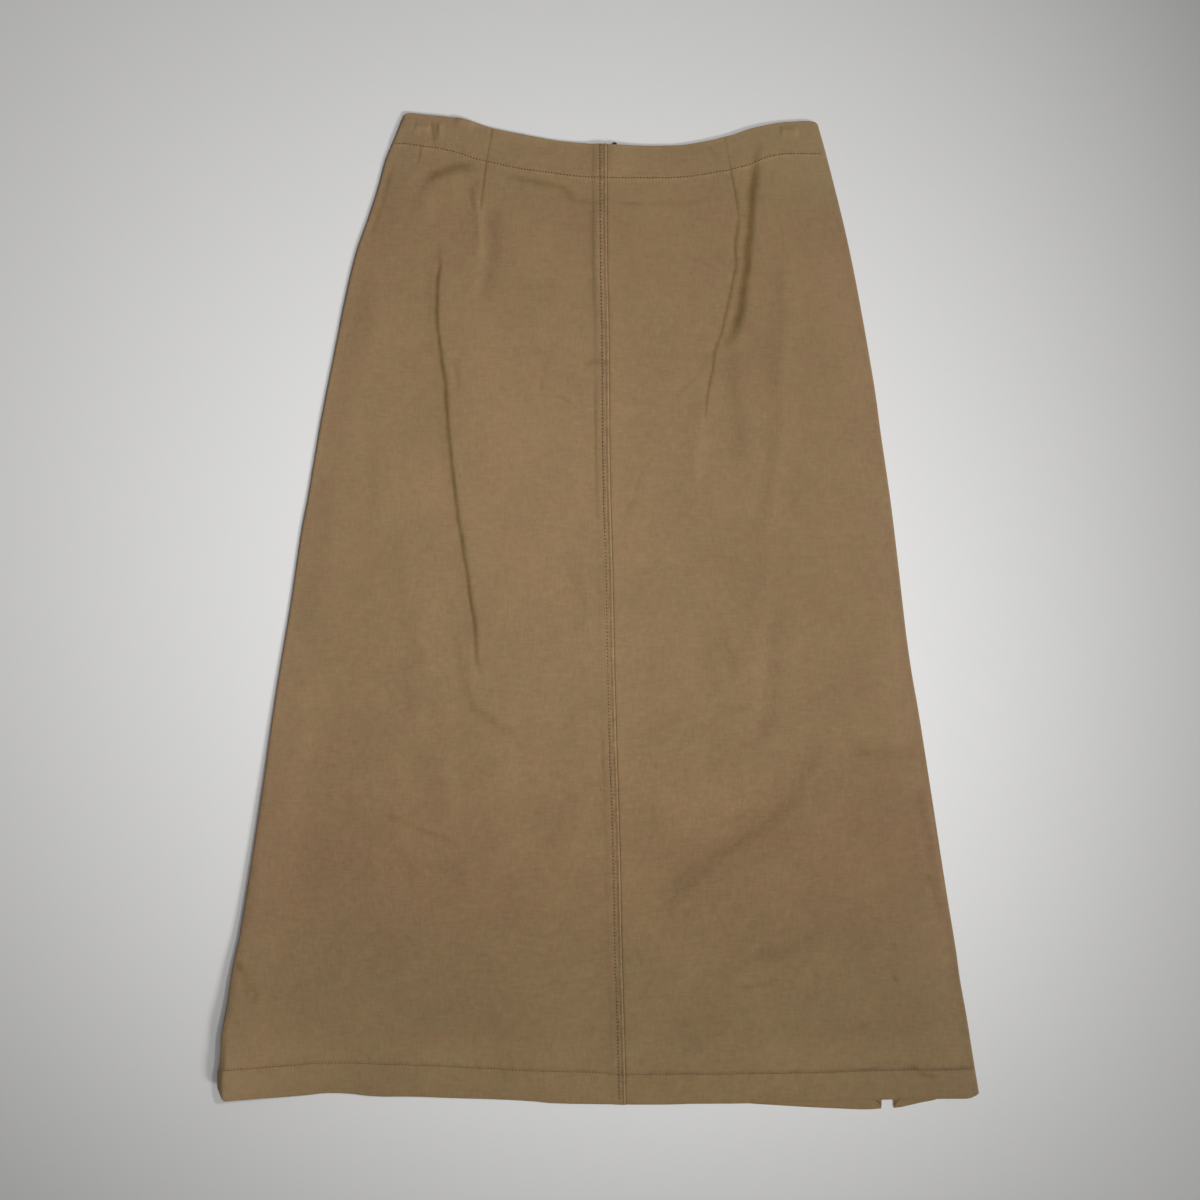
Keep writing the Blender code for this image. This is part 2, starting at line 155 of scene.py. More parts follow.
# Edges that run across: y of the edge at each x, left to right
WAIST = {-172.9: 435.2, -170.8: 437.5, -167.5: 438.5, -151.0: 437.1, -124.0: 434.1, -110.0: 430.6,
         -95.0: 425.6, -70.0: 420.4, -30.0: 413.6, 19.4: 410.1, 42.0: 409.8, 68.6: 410.2, 88.9: 412.8,
         116.0: 418.9, 136.4: 425.6, 163.7: 430.6, 183.9: 431.6, 190.6: 430.6, 194.2: 427.4}
FRONT_HEM = {-332.8: -417.8, -325.8: -427.5, -310.0: -427.5, -292.0: -427.1, -274.0: -426.6, -256.0: -425.7,
             -238.0: -424.4, -220.0: -425.1, -202.0: -427.1, -184.0: -427.7, -166.0: -427.7, -130.0: -429.0,
             -94.0: -430.0, -58.0: -431.8, -40.0: -433.5, -4.0: -434.4, 50.0: -434.8, 86.0: -434.0,
             123.0: -433.8, 213.0: -431.5, 250.0: -430.5, 270.0: -429.9, 324.7: -429.7, 334.9: -425.5}
BACK_HEM = {-332.8: -415.3, -325.8: -425.0, -310.0: -425.2, -262.0: -423.6, -238.0: -422.4, -202.0: -424.8,
            -166.0: -425.6, -130.0: -426.8, -42.0: -431.2, 80.0: -431.9, 123.0: -433.8, 140.0: -435.2,
            160.0: -436.4, 176.0: -437.4, 205.9: -438.9, 235.8: -440.0, 249.4: -439.2, 260.5: -438.6,
            266.0: -438.0, 277.0: -435.6, 287.0: -433.4, 295.0: -431.9, 302.0: -429.8, 324.7: -427.8,
            334.9: -423.6}

# Rows of topstitching that run across: y of the row at each x
FACING_ROW = {-181.0: 411.6, -168.0: 410.6, -156.0: 408.6, -144.0: 407.1, -132.0: 404.8, -120.0: 401.6,
              -108.0: 397.3, -96.0: 394.6, -84.0: 391.8, -72.0: 389.4, -60.0: 387.4, -48.0: 386.0,
              -24.0: 382.7, 0.0: 380.8, 24.0: 380.6, 60.0: 380.6, 72.0: 381.3, 84.0: 382.5, 96.0: 384.4,
              108.0: 386.3, 120.0: 388.9, 132.0: 392.2, 144.0: 397.0, 156.0: 400.3, 168.0: 401.6,
              197.0: 402.1}
HEM_ROW = {-330.0: -400.2, -305.0: -399.9, -285.0: -399.0, -265.0: -398.3, -245.0: -397.3, -225.0: -397.3,
           -185.0: -398.6, -145.0: -400.0, -105.0: -402.0, -65.0: -404.1, -25.0: -405.3, -2.0: -405.8,
           18.0: -407.4, 35.0: -407.8, 55.0: -407.5, 75.0: -407.1, 95.0: -407.5, 135.0: -406.8,
           175.0: -406.5, 215.0: -405.3, 275.0: -403.8, 295.0: -404.0, 315.0: -403.4, 334.0: -403.1}

# Darts, left and right
DART_POINTS = (350.0, 344.0)
DART_DEPTH = 0.45
DART_REACH = 1.1
DART_FADE = 9.0
DART_HIDDEN = (0.3, 0.5)   # how much of each the facing hides

# Ditches that rows of topstitching pull in: (depth, reach)
FACING_DITCH = (0.12, 1.1)
HEM_DITCH = (0.08, 1.0)
LAP_DITCH = (0.16, 0.8)
BACK_DITCH_REACH = 1.2
BACK_DITCH = 0.32      # depth of the back's ditches on its outer side
BACK_PINCH = 0.5       # how much thinner stitching makes its layer

# Painted shade along lines in the cloth, where shade falls: along the hem's edge, at the allowances' ends,
# along the lapped edge and along the mitre seams: (strength, reach)
HEM_SHADOW = (0.26, 0.9)
ALLOWANCE_SHADE = (0.08, 1.8)
LAP_SHADOW = (1.3, 0.8)
MITRE_SHADOW = (1.3, 0.9)
ROW_SHADE = 0.35        # strength of the painted shade in a row's ditch, by the ditch's depth
DART_SHADE = 0.55       # strength of the painted shade along a dart
BACK_ROW_SHADE = 0.15   # strength of the painted shade in the back's rows
BACK_PALE = 0.6        # how much of the front's paler places and tone the back has; that tone is partly painted light and shade
BACK_TONE = 0.5

# Seeded unevenness: how many cells its grid has each way, and where it starts
CELLS = 256
CELL_START = (91.3, 87.7)

# Layers of washed cloth's bumps: (height, size across, size along, seed)
SOFT_BUMPS = ((0.30, 46, 70, 1), (0.16, 21, 34, 2))
HEM_PUCKERS = ((0.20, 9, 26, 6), (0.12, 5, 20, 7))
WAIST_PUCKERS = ((0.15, 12, 30, 8), (0.12, 6, 12, 9))
LOW_TOP = 120.0        # y at which the lower cloth's extra bumps begin
LOW_RUN = 260.0
SMALL_BUMP = 0.05      # height of the small bumps above there
LOW_SMALL_BUMP = 0.09  # what the lower cloth adds to them
LOW_FINE_BUMP = 0.05
LOW_SLANTED_BUMP = 0.14
BUMP_SLANT = 0.7
HEM_PUCKER_PLACE = (9, 13.0)     # middle below the hem's row, and reach
WAIST_PUCKER_PLACE = (8, 16.0)   # middle above the facing's row, and reach

# Runs in from a side edge over which things come to their full height
FOLD_SETTLE = 5.0
FOLD_AT_SIDE = 0.25    # share of a fold's height that is left at the side itself
BUMP_SETTLE = 10.0
BACK_SETTLE = 6.0
ARCH_SETTLE = 14.0
CREASE_WANDER = 0.9    # how far fine creases stray from their paths
CREASE_BREAK = 0.22    # how unevenly they show

# Where the washed-in crumple grows towards the hem: y at which it begins, and its run
CRUMPLE_FROM = (150.0, 330.0)

# The slit: the open end of its seam, which spreads towards the hem
SLIT_TOP = -294.0
SLIT_FOOT = -438.0
SLIT_SPREAD = 10.8
MITRE = 6.5            # run of the mitre seams at its corners
MITRE_FOOT = 3.1       # height above the hem at which they start

# Spacing of the mesh's rows at each y, and its rows near a turned edge
FRONT_ROW_STEP = {-430.0: 2.6, -300.0: 2.8, -130.0: 2.8, -60.0: 3.6, 170.0: 3.6, 205.0: 2.0,
                  240.0: 2.0, 290.0: 3.2, 345.0: 2.2, 440.0: 2.2}
BACK_ROW_STEP = {-430.0: 4.0, -380.0: 8.0, 350.0: 8.0, 440.0: 4.0}
EDGE_ROWS = (0.0, 0.06, 0.22, 0.48, 0.8, 1.4, 2.6, 4.5)
BACK_EDGE_ROWS = (0.0, 0.06, 0.22, 0.48, 0.8, 1.4, 2.2, 3.0, 3.7, 4.4, 5.1, 5.8, 6.5, 7.3, 8.2, 9.5)
STITCH_ROWS = (-3.0, -1.8, -0.9, -0.4, 0.0, 0.4, 0.9, 1.8, 3.0)
BAND_ROWS = 9          # lines from an edge's last row to the stitching's first, both counted
SPACED_FROM = (400.0, -400.0)   # y between which the rows' spacing is worked out
MEETING_STEPS = 12     # rounds in which a line's meeting point with an edge is found

# Columns of the mesh near side edges, fold feet, darts and the lap
SIDE_COLUMNS = (0.0, 0.12, 0.45, 0.95, 1.7, 2.8, 3.9, 4.7, 5.3, 6.2, 8.0)
FOOT_COLUMNS = (-7.0, -4.0, -2.4, -1.2, -0.4, 0.4, 1.2, 2.4, 4.0, 6.0, 8.5, 12.0)
DART_COLUMNS = (-4.0, -2.2, -1.2, -0.5, 0.0, 0.5, 1.2, 2.2, 4.0)
LAP_COLUMNS = (-17.0, -15.0, -14.0, -13.2, -12.4, -11.4, -9.5, -8.0, -7.2, -6.8, -6.4, -6.0, -5.6,
               -4.6, -3.6, -3.1, -2.7, -2.3, -1.9, -1.4, -0.9, -0.5, -0.2, -0.05, 0.0)
UNDERLAP_COLUMNS = (-UNDERLAP, -UNDERLAP + 0.4, -UNDERLAP + 1.2, -3.0, -0.4, 0.2, 0.6, 1.1, 1.8, 3.0, 5.0)
BACK_SEAM_COLUMNS = (0.0, 0.1, 0.4, 1.0, 2.0, 4.0)
SLIT_COLUMNS = (0.0, 0.1, 0.4, 1.0, 1.7, 2.4, 3.1, 3.8, 4.5, 5.2, 6.0, 7.0, 8.5)


class Fold(NamedTuple):
    """A soft ridge, or a trough where height is below zero, along a path."""
    name: str
    height: float
    left: float      # reach on the -x side of a path that runs down
    right: float     # reach on its +x side
    fade: float      # run over which the fold dies out at each end
    path: tuple


class Crease(NamedTuple):
    """A fine sunk line in the cloth, and the painted shade along it."""
    name: str
    depth: float
    reach: float
    fade: float
    mark: float
    path: tuple


FOLDS = (
    Fold("left_step", 1.72, 7, 41.4, 50,
         ((-136.5, 328), (-137.5, 300), (-139.5, 263), (-135.5, 228), (-130.5, 200), (-128.5, 163),
          (-124.5, 125), (-119.5, 86), (-113.5, 48), (-108.5, 13), (-105.5, -18), (-102.5, -50))),
    Fold("left_step_low", 0.262, 6, 45.7, 20,
         ((-119, -40), (-114, -70), (-104, -88), (-92, -98), (-70, -114))),
    Fold("left_slack", 1.19, 5, 30.5, 24, ((-124, -8), (-117, -40), (-113, -72))),
    Fold("left_far", 0.86, 10, 27.6, 30, ((-194.5, 300), (-194.5, 260), (-190.5, 222))),
    Fold("left_soft", 1.07, 10, 30.4, 40, ((-193.5, 160), (-190.5, 120), (-193.5, 80), (-197.5, 44))),
    Fold("left_low", 0.756, 12.4, 17.3, 30, ((-174, 86), (-170, 40), (-162, 2), (-158, -28))),
    Fold("left_low_a", 0.838, 6.9, 12.4, 14, ((-161, -2), (-158, -27), (-153, -50), (-149, -62))),
    Fold("left_low_b", 0.7, 5, 17.1, 16, ((-167, -36), (-164, -65), (-160, -94), (-158, -110))),
    Fold("left_light", 0.32, 14, 6.2, 30, ((-146, 30), (-142, -20), (-136, -66))),
    Fold("left_calf", 1.26, 16.6, 8, 26, ((-136.5, -112), (-133.5, -150), (-129.5, -196))),
    Fold("left_shin", 1.32, 20, 38.1, 35, ((-240, -120), (-232, -200), (-246, -280))),
    Fold("left_edge_low", 0.3, 7, 19.3, 30, ((-300.5, -200), (-307.5, -250), (-314.5, -300))),
    Fold("waist_arc", 1.34, 20, 5, 18,
         ((-158, 359.5), (-150, 371.5), (-139, 378.5), (-128, 382.5), (-114, 383.5))),
    Fold("waist_arc_end", 1.17, 10, 6, 14, ((-148, 372), (-152, 356), (-148, 340))),
    Fold("dart_tail_ridge", 0.644, 2.9, 5, 12,
         ((-109.5, 376), (-107.5, 350), (-106.5, 326), (-105.5, 306))),
    Fold("dart_hollow", -1.38, 6, 8.6, 22,
         ((-100, 364.5), (-99, 338.5), (-98, 311.5), (-102, 288.5), (-108, 266.5))),
    Fold("belly_rise", 1, 9, 34.2, 24, ((-86, 364), (-84, 340), (-84, 313), (-88, 290))),
    Fold("facing_crease", -1.1, 5, 4, 16, ((-92, 417), (-62, 410), (-34, 408))),
    Fold("side_roll", -0.15, 4, 24.8, 20, ((-175.5, 394), (-182.5, 366), (-191.5, 342), (-200.5, 318))),
    Fold("seam_rise", 1.08, 6, 5, 16, ((-1, 360), (-2, 320), (-1, 290), (2, 262))),
    Fold("belly_dimple", 0.286, 5, 4, 10, ((-41, 290), (-41, 262))),
    Fold("waist_roll", 0.146, 4, 5, 26,
         ((129, 412), (126, 385), (124, 350), (122, 320), (120, 290), (115, 265), (108, 244))),
    Fold("waist_step", 1.12, 5, 44.2, 30,
         ((146, 428), (143, 400), (141, 380), (139, 356), (137, 325), (135, 300), (132, 275), (130, 252),
          (124, 234))),
    Fold("dart_crease", 0.044, 5, 7.2, 30,
         ((105.5, 226), (100.5, 204), (96.5, 178), (92.5, 150), (86.5, 120), (81.5, 100))),
    Fold("dart_crease_foot", 1.01, 9, 7, 24, ((92, 194), (88, 160), (84, 130), (80, 104))),
    Fold("roll_tail", 2.04, 10, 19.3, 26,
         ((126.5, 236), (125.5, 201), (129.5, 175), (132.5, 148), (124.5, 118))),
    Fold("right_soft", 1.13, 8, 9.4, 40,
         ((166, 330), (165, 300), (165, 259), (161, 225), (159, 194), (161, 171), (157, 132), (153, 101),
          (150, 78), (142, 44))),
    Fold("thigh_ridge", 0.758, 16, 9, 34,
         ((147.5, 61.5), (145.5, 21.5), (140.5, -18.5), (136.5, -56.5), (133.5, -88.5))),
    Fold("thigh_valley", -1.44, 9.7, 9, 24, ((152, 10), (149, -23), (147, -77), (141, -104), (138, -124))),
    Fold("hip_band_left", 0.862, 5.8, 14, 24,
         ((92, 9.5), (100, -21.5), (102, -48.5), (110, -70.5), (126, -82.5))),
    Fold("hip_band_right", 1.63, 7, 10, 20, ((108, -0.5), (114, -22.5), (123, -46.5), (128, -66.5))),
    Fold("hip_top", 0.598, 8, 8.6, 16, ((40, 32.5), (66, 32.5), (98, 27.5))),
    Fold("knee_trough", -1.6, 17.6, 12, 26, ((-112, -150), (-96, -160), (-60, -166), (-14, -172))),
    Fold("knee_ridge", 0.494, 25.9, 12, 24, ((-110, -197.5), (-60, -203.5), (-8, -213.5))),
    Fold("knee_side", 0.75, 7, 19.3, 16, ((-99.5, -128), (-96.5, -160), (-93.5, -196))),
    Fold("left_knee", 0.616, 11, 4, 14,
         ((-193.5, -181.5), (-177.5, -187.5), (-155.5, -198.5), (-137.5, -205.5), (-123.5, -215.5))),
    Fold("left_knee_low", 0.63, 4.3, 4.3, 12, ((-182, -192), (-172, -208), (-162, -222), (-148, -236))),
    Fold("left_knee_tip", 0.63, 5, 5, 10, ((-126, -222), (-118, -234), (-110, -250))),
    Fold("right_knee", 1.55, 11, 46, 36,
         ((209.5, -110), (194.5, -134), (182.5, -160), (160.5, -190), (140.5, -206), (120.5, -218),
          (102.5, -230), (84.5, -246), (66.5, -264), (46.5, -280))),
    Fold("right_knee_foot", -0.786, 30, 15.2, 26,
         ((168, -140), (146, -168), (112, -194), (70, -224), (46, -240))),
    Fold("right_edge", 0.216, 11, 16, 14, ((218.5, -130), (238.5, -136), (262.5, -138), (288.5, -136))),
    Fold("right_hem_ridge", 1.5, 9, 5, 18,
         ((283.5, -151.5), (291.5, -191.5), (296.5, -223.5), (303.5, -257.5))),
    Fold("right_hem_ridge_in", 0.838, 5, 6.9, 16, ((277, -185.5), (284, -227.5), (291, -261.5))),
    Fold("right_shin", 1.05, 8, 38.1, 26,
         ((215, -280), (192, -292), (176, -303), (159, -310), (140, -311), (122, -322), (99, -335),
          (84, -346))),
    Fold("right_cuff", 0.704, 2.6, 10, 12, ((246, -362), (228, -368), (210, -372))),
    Fold("shin_spot", -0.38, 7, 7, 2, ((218.5, -233.5), (223.5, -235.5))),
    Fold("slit_end_arc", 0.0135, 3.6, 5, 8, ((237.5, -318), (253.5, -326), (273.5, -328))),
    Fold("press_band", 0.902, 16, 12.4, 30,
         ((-320, -383.5), (-150, -381.5), (20, -381.5), (160, -381.5), (300, -381.5))),
    Fold("corner_roll", 0.8, 6, 12, 26, ((-324.5, -370.5), (-324.5, -403.5), (-324.5, -436.5))),
    Fold("shin_upright_b", 0.41, 4, 6, 12, ((-20, 44), (-12, 18), (-8, -30))),
    Fold("shin_upright_c", 0.534, 5, 6, 12, ((-22, -80), (-16, -124))),
    Fold("shin_upright_d", 0.294, 4, 7, 14, ((74, -106), (82, -160))),
    Fold("shin_upright_f", 0.486, 4, 9.5, 10, ((48, -160), (54, -200))),
    Fold("left_tab", 1.3, 2.4, 2.2, 4, ((-163, 425.5), (-147, 424.5))),
    Fold("left_tab_side", 1.3, 2.4, 2.4, 4, ((-140, 430), (-139, 414))),
    Fold("left_tab_far", 1.5, 4, 5, 5, ((-128, 433), (-108, 429))),
    Fold("right_tab", 1.5, 3.4, 3.4, 4, ((158.5, 422.5), (176.5, 420.5))),
    Fold("centre_lap", 0.5, 10, 10, 12, ((8, 411), (10, 194), (12, -78), (22, -325), (24, -433))),
    Fold("hook_cover", 2.6, 16, 16, 14, ((13, 434), (13, 378))),
)

# Soft creases of the hidden side, which arch off the surface
BACK_FOLDS = (
    Fold("back_left_long", 1.1, 8, 15, 60,
         ((-150, 330), (-162, 240), (-158, 150), (-170, 60), (-188, -20))),
    Fold("back_left_knee", 0.9, 7, 12, 34,
         ((-228, -40), (-196, -96), (-152, -140), (-96, -170), (-52, -176))),
    Fold("back_left_shin", 0.6, 5, 8, 20, ((-150, -238), (-118, -262), (-70, -272))),
    Fold("back_waist_left", 0.8, 5, 9, 18, ((-58, 372), (-62, 338), (-54, 306), (-58, 282))),
    Fold("back_middle", 0.7, 12, 7, 40, ((-26, 190), (-34, 120), (-30, 60), (-42, 10))),
    Fold("back_right_long", 1.1, 14, 8, 60,
         ((96, 350), (104, 270), (92, 180), (108, 90), (120, 10), (116, -60))),
    Fold("back_right_seat", 0.8, 9, 9, 30, ((168, 250), (184, 190), (178, 130), (190, 84))),
    Fold("back_right_knee", 1.0, 16, 9, 36, ((206, -70), (168, -122), (118, -150), (66, -196))),
    Fold("back_right_shin", 0.7, 7, 11, 24, ((188, -236), (150, -268), (112, -284), (84, -312))),
    Fold("back_side_short", 0.5, 5, 7, 18, ((272, -190), (282, -232), (280, -262))),
    Fold("back_left_corner", 0.5, 7, 10, 20, ((-262, -230), (-246, -270), (-250, -318))),
)

CREASES = (
    Crease("left_foot", 0.64, 1.9, 40, 0.66,
         ((-140, 331), (-141, 296), (-143, 259), (-139, 224), (-135, 196), (-133, 159), (-129, 121),
          (-124, 82), (-118, 44), (-113, 9), (-110, -9), (-108, -34), (-104, -64))),
    Crease("left_foot_low", 0.33, 3.7, 12, 0.26,
         ((-118, -57.5), (-114, -78.5), (-106, -89.5), (-95, -94.5), (-89, -101.5), (-70, -109.5))),
    Crease("left_foot_twin", 0.28, 1.6, 12, 0.15, ((-125.5, 229.5), (-124.5, 207.5), (-123.5, 183.5))),
    Crease("roll_crease", 0.38, 1.5, 22, 0.66,
         ((123, 356), (123, 344), (121, 325), (120, 304), (116, 279), (111, 256), (104, 234), (100, 217),
          (97, 198), (94, 174), (93, 162))),
    Crease("roll_valley", 0.5, 3.9, 30, 0.9,
         ((140, 412), (139, 400), (138, 386), (135, 363), (132, 329), (130, 304), (127, 279),
          (124, 260), (118, 244), (108, 224))),
    Crease("dart_tail", 0.29, 1.9, 10, 0.27, ((-112, 380), (-110, 355), (-108, 340), (-108, 322))),
    Crease("arc_line", 0.52, 4, 14, 0.65,
         ((-154.5, 376), (-147.5, 382), (-139.5, 386), (-128.5, 390), (-116.5, 391), (-106.5, 389))),
    Crease("belly_line", 0.31, 2.9, 14, 0.43,
         ((-85.5, 384), (-61.5, 379), (-42.5, 375), (-31.5, 371), (-23.5, 361), (-19.5, 353))),
    Crease("belly_fold", 0.25, 1.9, 4, 0.36, ((-22.5, 359.5), (5.5, 359.5))),
    Crease("belly_fold_right", 0.22, 1.9, 6, 0.26, ((18, 359), (42, 359))),
    Crease("belly_fold_far", 0.15, 1.7, 12, 0.21, ((36, 358), (93, 358))),
    Crease("press_left", 0.15, 1.5, 10, 0.14,
         ((-117.5, 234.5), (-96.5, 230.5), (-77.5, 228.5), (-61.5, 230.5), (-46.5, 230.5))),
    Crease("press_left_end", 0.16, 1.9, 4, 0.09, ((-65, 228), (-46, 228))),
    Crease("press_mid", 0.28, 2.5, 4, 0.4, ((-15.5, 216), (-3.5, 219), (11.5, 218))),
    Crease("press_right", 0.15, 1.7, 12, 0.1,
         ((11.5, 220.5), (28.5, 222.5), (62.5, 224.5), (106.5, 226.5))),
    Crease("press_smudge", 0.15, 2.6, 4, 0.19, ((47, 209.5), (70, 209.5))),
    Crease("belly_slant", 0.2, 1.4, 8, 0.22, ((-32, 246), (-40, 231), (-47, 217), (-50, 201), (-49, 188))),
    Crease("belly_slant_low", 0.15, 1.5, 4, 0.29, ((-26, 214), (-28, 198))),
    Crease("belly_slant_foot", 0.15, 1.4, 5, 0.19, ((-38, 189), (-17, 179))),
    Crease("hip_slant_right", 0.15, 2, 8, 0.21, ((100, 227.5), (86, 207.5), (67, 183.5))),
    Crease("thigh_slant", 0.17, 1.1, 8, 0.3, ((56, 143), (41, 128), (34, 105), (21, 80))),
    Crease("band_slant", 0.22, 1.1, 4, 0.43, ((-156, 411.5), (-160, 391.5))),
    Crease("tab_line", 0.27, 1.5, 4, 0.64, ((-147.5, 431.5), (-144.5, 410.5))),
    Crease("right_band_slant", 0.2, 1.4, 4, 0.4, ((98, 409), (107, 395))),
    Crease("side_line", 0.27, 2.6, 12, 0.36, ((-182, 394), (-189, 368), (-195, 348), (-202, 325))),
    Crease("left_knee_line", 0.15, 2.4, 10, 0.23,
         ((-191, -176.5), (-176, -182.5), (-153, -193.5), (-135, -199.5), (-121, -209.5))),
    Crease("left_knee_foot", 0.15, 1.7, 8, 0.11, ((-177, -206), (-166, -223), (-152, -236))),
    Crease("left_knee_end", 0.26, 1.7, 6, 0.07, ((-127.5, -230), (-115.5, -248))),
    Crease("right_knee_line", 0.15, 3.9, 14, 0.06,
         ((179, -160), (151, -183), (120, -206), (97, -221), (74, -246))),
    Crease("right_knee_edge", 0.2, 1.5, 16, 0.29, ((174, -169), (150, -184), (122, -204), (99, -221))),
    Crease("right_knee_upper", 0.2, 1.6, 14, 0.13, ((159, -154), (140, -169), (116, -188))),
    Crease("right_knee_tail", 0.15, 1.4, 12, 0.07, ((84, -236), (62, -254), (45, -272))),
    Crease("cuff_small_a", 0.15, 1.2, 6, 0.02, ((-253, -204), (-240, -208), (-230, -210))),
    Crease("cuff_small_b", 0.15, 1.2, 6, 0.07, ((-210, -231), (-200, -235), (-191, -238))),
    Crease("cuff_small_c", 0.15, 1.3, 8, 0.02, ((-60, -269), (-44, -272), (-26, -277))),
    Crease("knee_upright", 0.15, 1.3, 8, 0.16, ((-218, -142), (-220, -158), (-220, -173))),
    Crease("knee_upper_line", 0.2, 1.4, 14, 0.025, ((-176, -204), (-160, -222), (-137, -250))),
    Crease("right_low_line", 0.15, 1.6, 10, 0.11, ((213, -369), (232, -364), (249, -358))),
    Crease("thigh_stroke", 0.15, 1.5, 8, 0.18, ((-30, 40), (-22, 24), (-14, 13))),
    Crease("right_shin_line", 0.21, 3.9, 8, 0.12, ((176, -296), (159, -302), (136, -302))),
    Crease("right_shin_foot", 0.19, 1.1, 6, 0.35, ((160, -323), (140, -329), (119, -334))),
    Crease("edge_strip", 0.1, 4.0, 16, 0.17, ((281, -151), (288, -190), (294, -225), (301, -259))),
    Crease("right_edge_line", 0.15, 5, 8, 0.2, ((220, -122), (248, -125), (282, -124))),
    Crease("right_side_line", 0.23, 2.2, 8, 0.42, ((288, -228), (296, -250), (302, -272))),
    Crease("left_cuff_line", 0.19, 3.2, 6, 0.54,
         ((-320, -306.5), (-313, -314.5), (-308, -325.5), (-310, -339.5))),
    Crease("left_cuff_foot", 0.27, 2.2, 4, 0.52, ((-306, -328), (-300, -335), (-303, -346))),
    Crease("side_tack", 0.2, 0.9, 1.2, 0.55,
         ((-319.5, -357), (-318.8, -359.2), (-316.4, -359.4), (-315.4, -357.4))),
    Crease("cuff_upright", 0.15, 1.1, 5, 0.06, ((-307.5, -363), (-306, -383))),
    Crease("slit_tack", 0.15, 1.4, 3, 0.51, ((260, -290), (260, -302))),
    Crease("slit_tack_dot", 0.33, 2.7, 1, 0.64, ((260, -323), (263, -323.5))),
    Crease("right_hem_hook", 0.24, 2, 4, 0.55, ((274.5, -399.5), (284.5, -407.5), (298.5, -410.5))),
)

# Places where the cloth shows paler: (x, y, reach across, reach along, strength)
PALE_PLACES = (
    (-262, -35, 7, 14, 0.9), (-255, -79, 13, 7, 0.8), (-256, -114, 8, 9, 0.8), (-240, -84, 10, 5, 0.4),
    (37, 44, 8, 8, 0.7), (-129, -84, 3, 3, 0.8), (-157, 424, 8, 3, 0.9), (-137, 425, 3, 5, 0.6),
    (171, 421, 9, 4, 0.9), (-112, 428, 9, 4, 0.5), (-48, 320, 18, 26, 0.35), (-60, -140, 40, 22, 0.35),
    (96, -170, 30, 26, 0.35), (-36, -388, 290, 12, 0.3), (262, -150, 14, 10, 0.3), (60, 300, 34, 50, 0.2),
)
PALE_RIGHT_EDGE = (0.12, 2.2)      # strength and reach along the right side
# Strength and reach of the paler waist edge: partly rubbed pale, partly painted highlight on its rolled edge
WAIST_WEAR_AND_HIGHLIGHT = (0.6, 2.6)

# Broad areas of deeper tone, paler where below zero; this broad tone is partly uneven dye, partly painted
# light and shade: (x, reach, y, reach, strength)
DEEP_AREAS = (
    (-150.0, 40.0, 170.0, 80.0, 0.2), (262.0, 70.0, -175.0, 65.0, 0.32),
    (205.0, 45.0, 285.0, 90.0, -0.18), (-180.0, 95.0, -392.0, 45.0, -0.22),
)
DEEP_ACROSS = (0.28, 80.0)   # strength and reach of a deeper strip across the thighs
DEEP_ACROSS_Y = 20.0
DEEP_ROLL = (0.36, 90.0)     # and of one down the right half
DEEP_ROLL_X = 128.0
PALE_WAIST = (0.75, 30.0)    # and of the paler waist
PALE_HEM = (0.45, 38.0)
PALE_HEM_RISE = 30.0         # height of the hem's paler strip above its edge
PALE_UPPER_RIGHT = (0.5, 70.0)
PALE_UPPER_RIGHT_X = 160.0
LIT_CORNER = (0.65, 120.0)  # and of the painted light on the lifted lower left corner
SHADED_LEFT_EDGE = (0.65, 4.2)    # and of the painted shade on the side edges that turn away from the light
SHADED_RIGHT_EDGE = (0.45, 4.5)


def smooth_line(table):
    """Return the smooth function through a table of {position: value}."""
    places = np.array(sorted(table))
    values = np.array([table[place] for place in places])
    slopes = np.diff(values) / np.diff(places)
    product = slopes[:-1] * slopes[1:]
    total = np.where(product > 0, slopes[:-1] + slopes[1:], 1.0)
    inner = np.where(product > 0, 2 * product / total, 0.0)
    tangents = np.concatenate([slopes[:1], inner, slopes[-1:]])

    def value_at(place):
        i = np.clip(np.searchsorted(places, place, side="right") - 1, 0, len(slopes) - 1)
        run = places[i + 1] - places[i]
        t = np.clip((place - places[i]) / run, 0.0, 1.0)
        rise = (2 * t ** 3 - 3 * t ** 2 + 1) * values[i] + (3 * t ** 2 - 2 * t ** 3) * values[i + 1]
        lean = (t ** 3 - 2 * t ** 2 + t) * tangents[i] + (t ** 3 - t ** 2) * tangents[i + 1]
        return rise + lean * run

    return value_at


left_side = smooth_line(LEFT_SIDE)
right_side = smooth_line(RIGHT_SIDE)
side_lift = smooth_line(LIFT_ALONG_SIDE)
waist = smooth_line(WAIST)
front_hem = smooth_line(FRONT_HEM)
back_hem = smooth_line(BACK_HEM)
facing_row = smooth_line(FACING_ROW)
hem_row = smooth_line(HEM_ROW)
centre_front = smooth_line(CENTRE_FRONT)
centre_back = smooth_line(CENTRE_BACK)
slit_seam = smooth_line(SLIT_SEAM)
left_fold_foot = smooth_line(LEFT_FOLD_FOOT)
right_fold = smooth_line(RIGHT_FOLD)
left_dart = smooth_line(LEFT_DART)
right_dart = smooth_line(RIGHT_DART)
allowance_shows = smooth_line(ALLOWANCE_SHOWS)


def shifted(line, offset):
    """Return the line moved sideways by an offset."""
    return lambda y: line(y) + offset


def between(first, second, share):
    """Return the line at a share of the way from one line to another."""
    return lambda y: first(y) + (second(y) - first(y)) * share


def spread(first, second, count):
    """Return the lines that divide the strip between two lines, without its ends."""
    return [between(first, second, step / (count + 1)) for step in range(1, count + 1)]


def ease(share):
    """Return shares from 0 to 1, eased at both ends."""
    share = np.clip(share, 0.0, 1.0)
    return share * share * (3 - 2 * share)


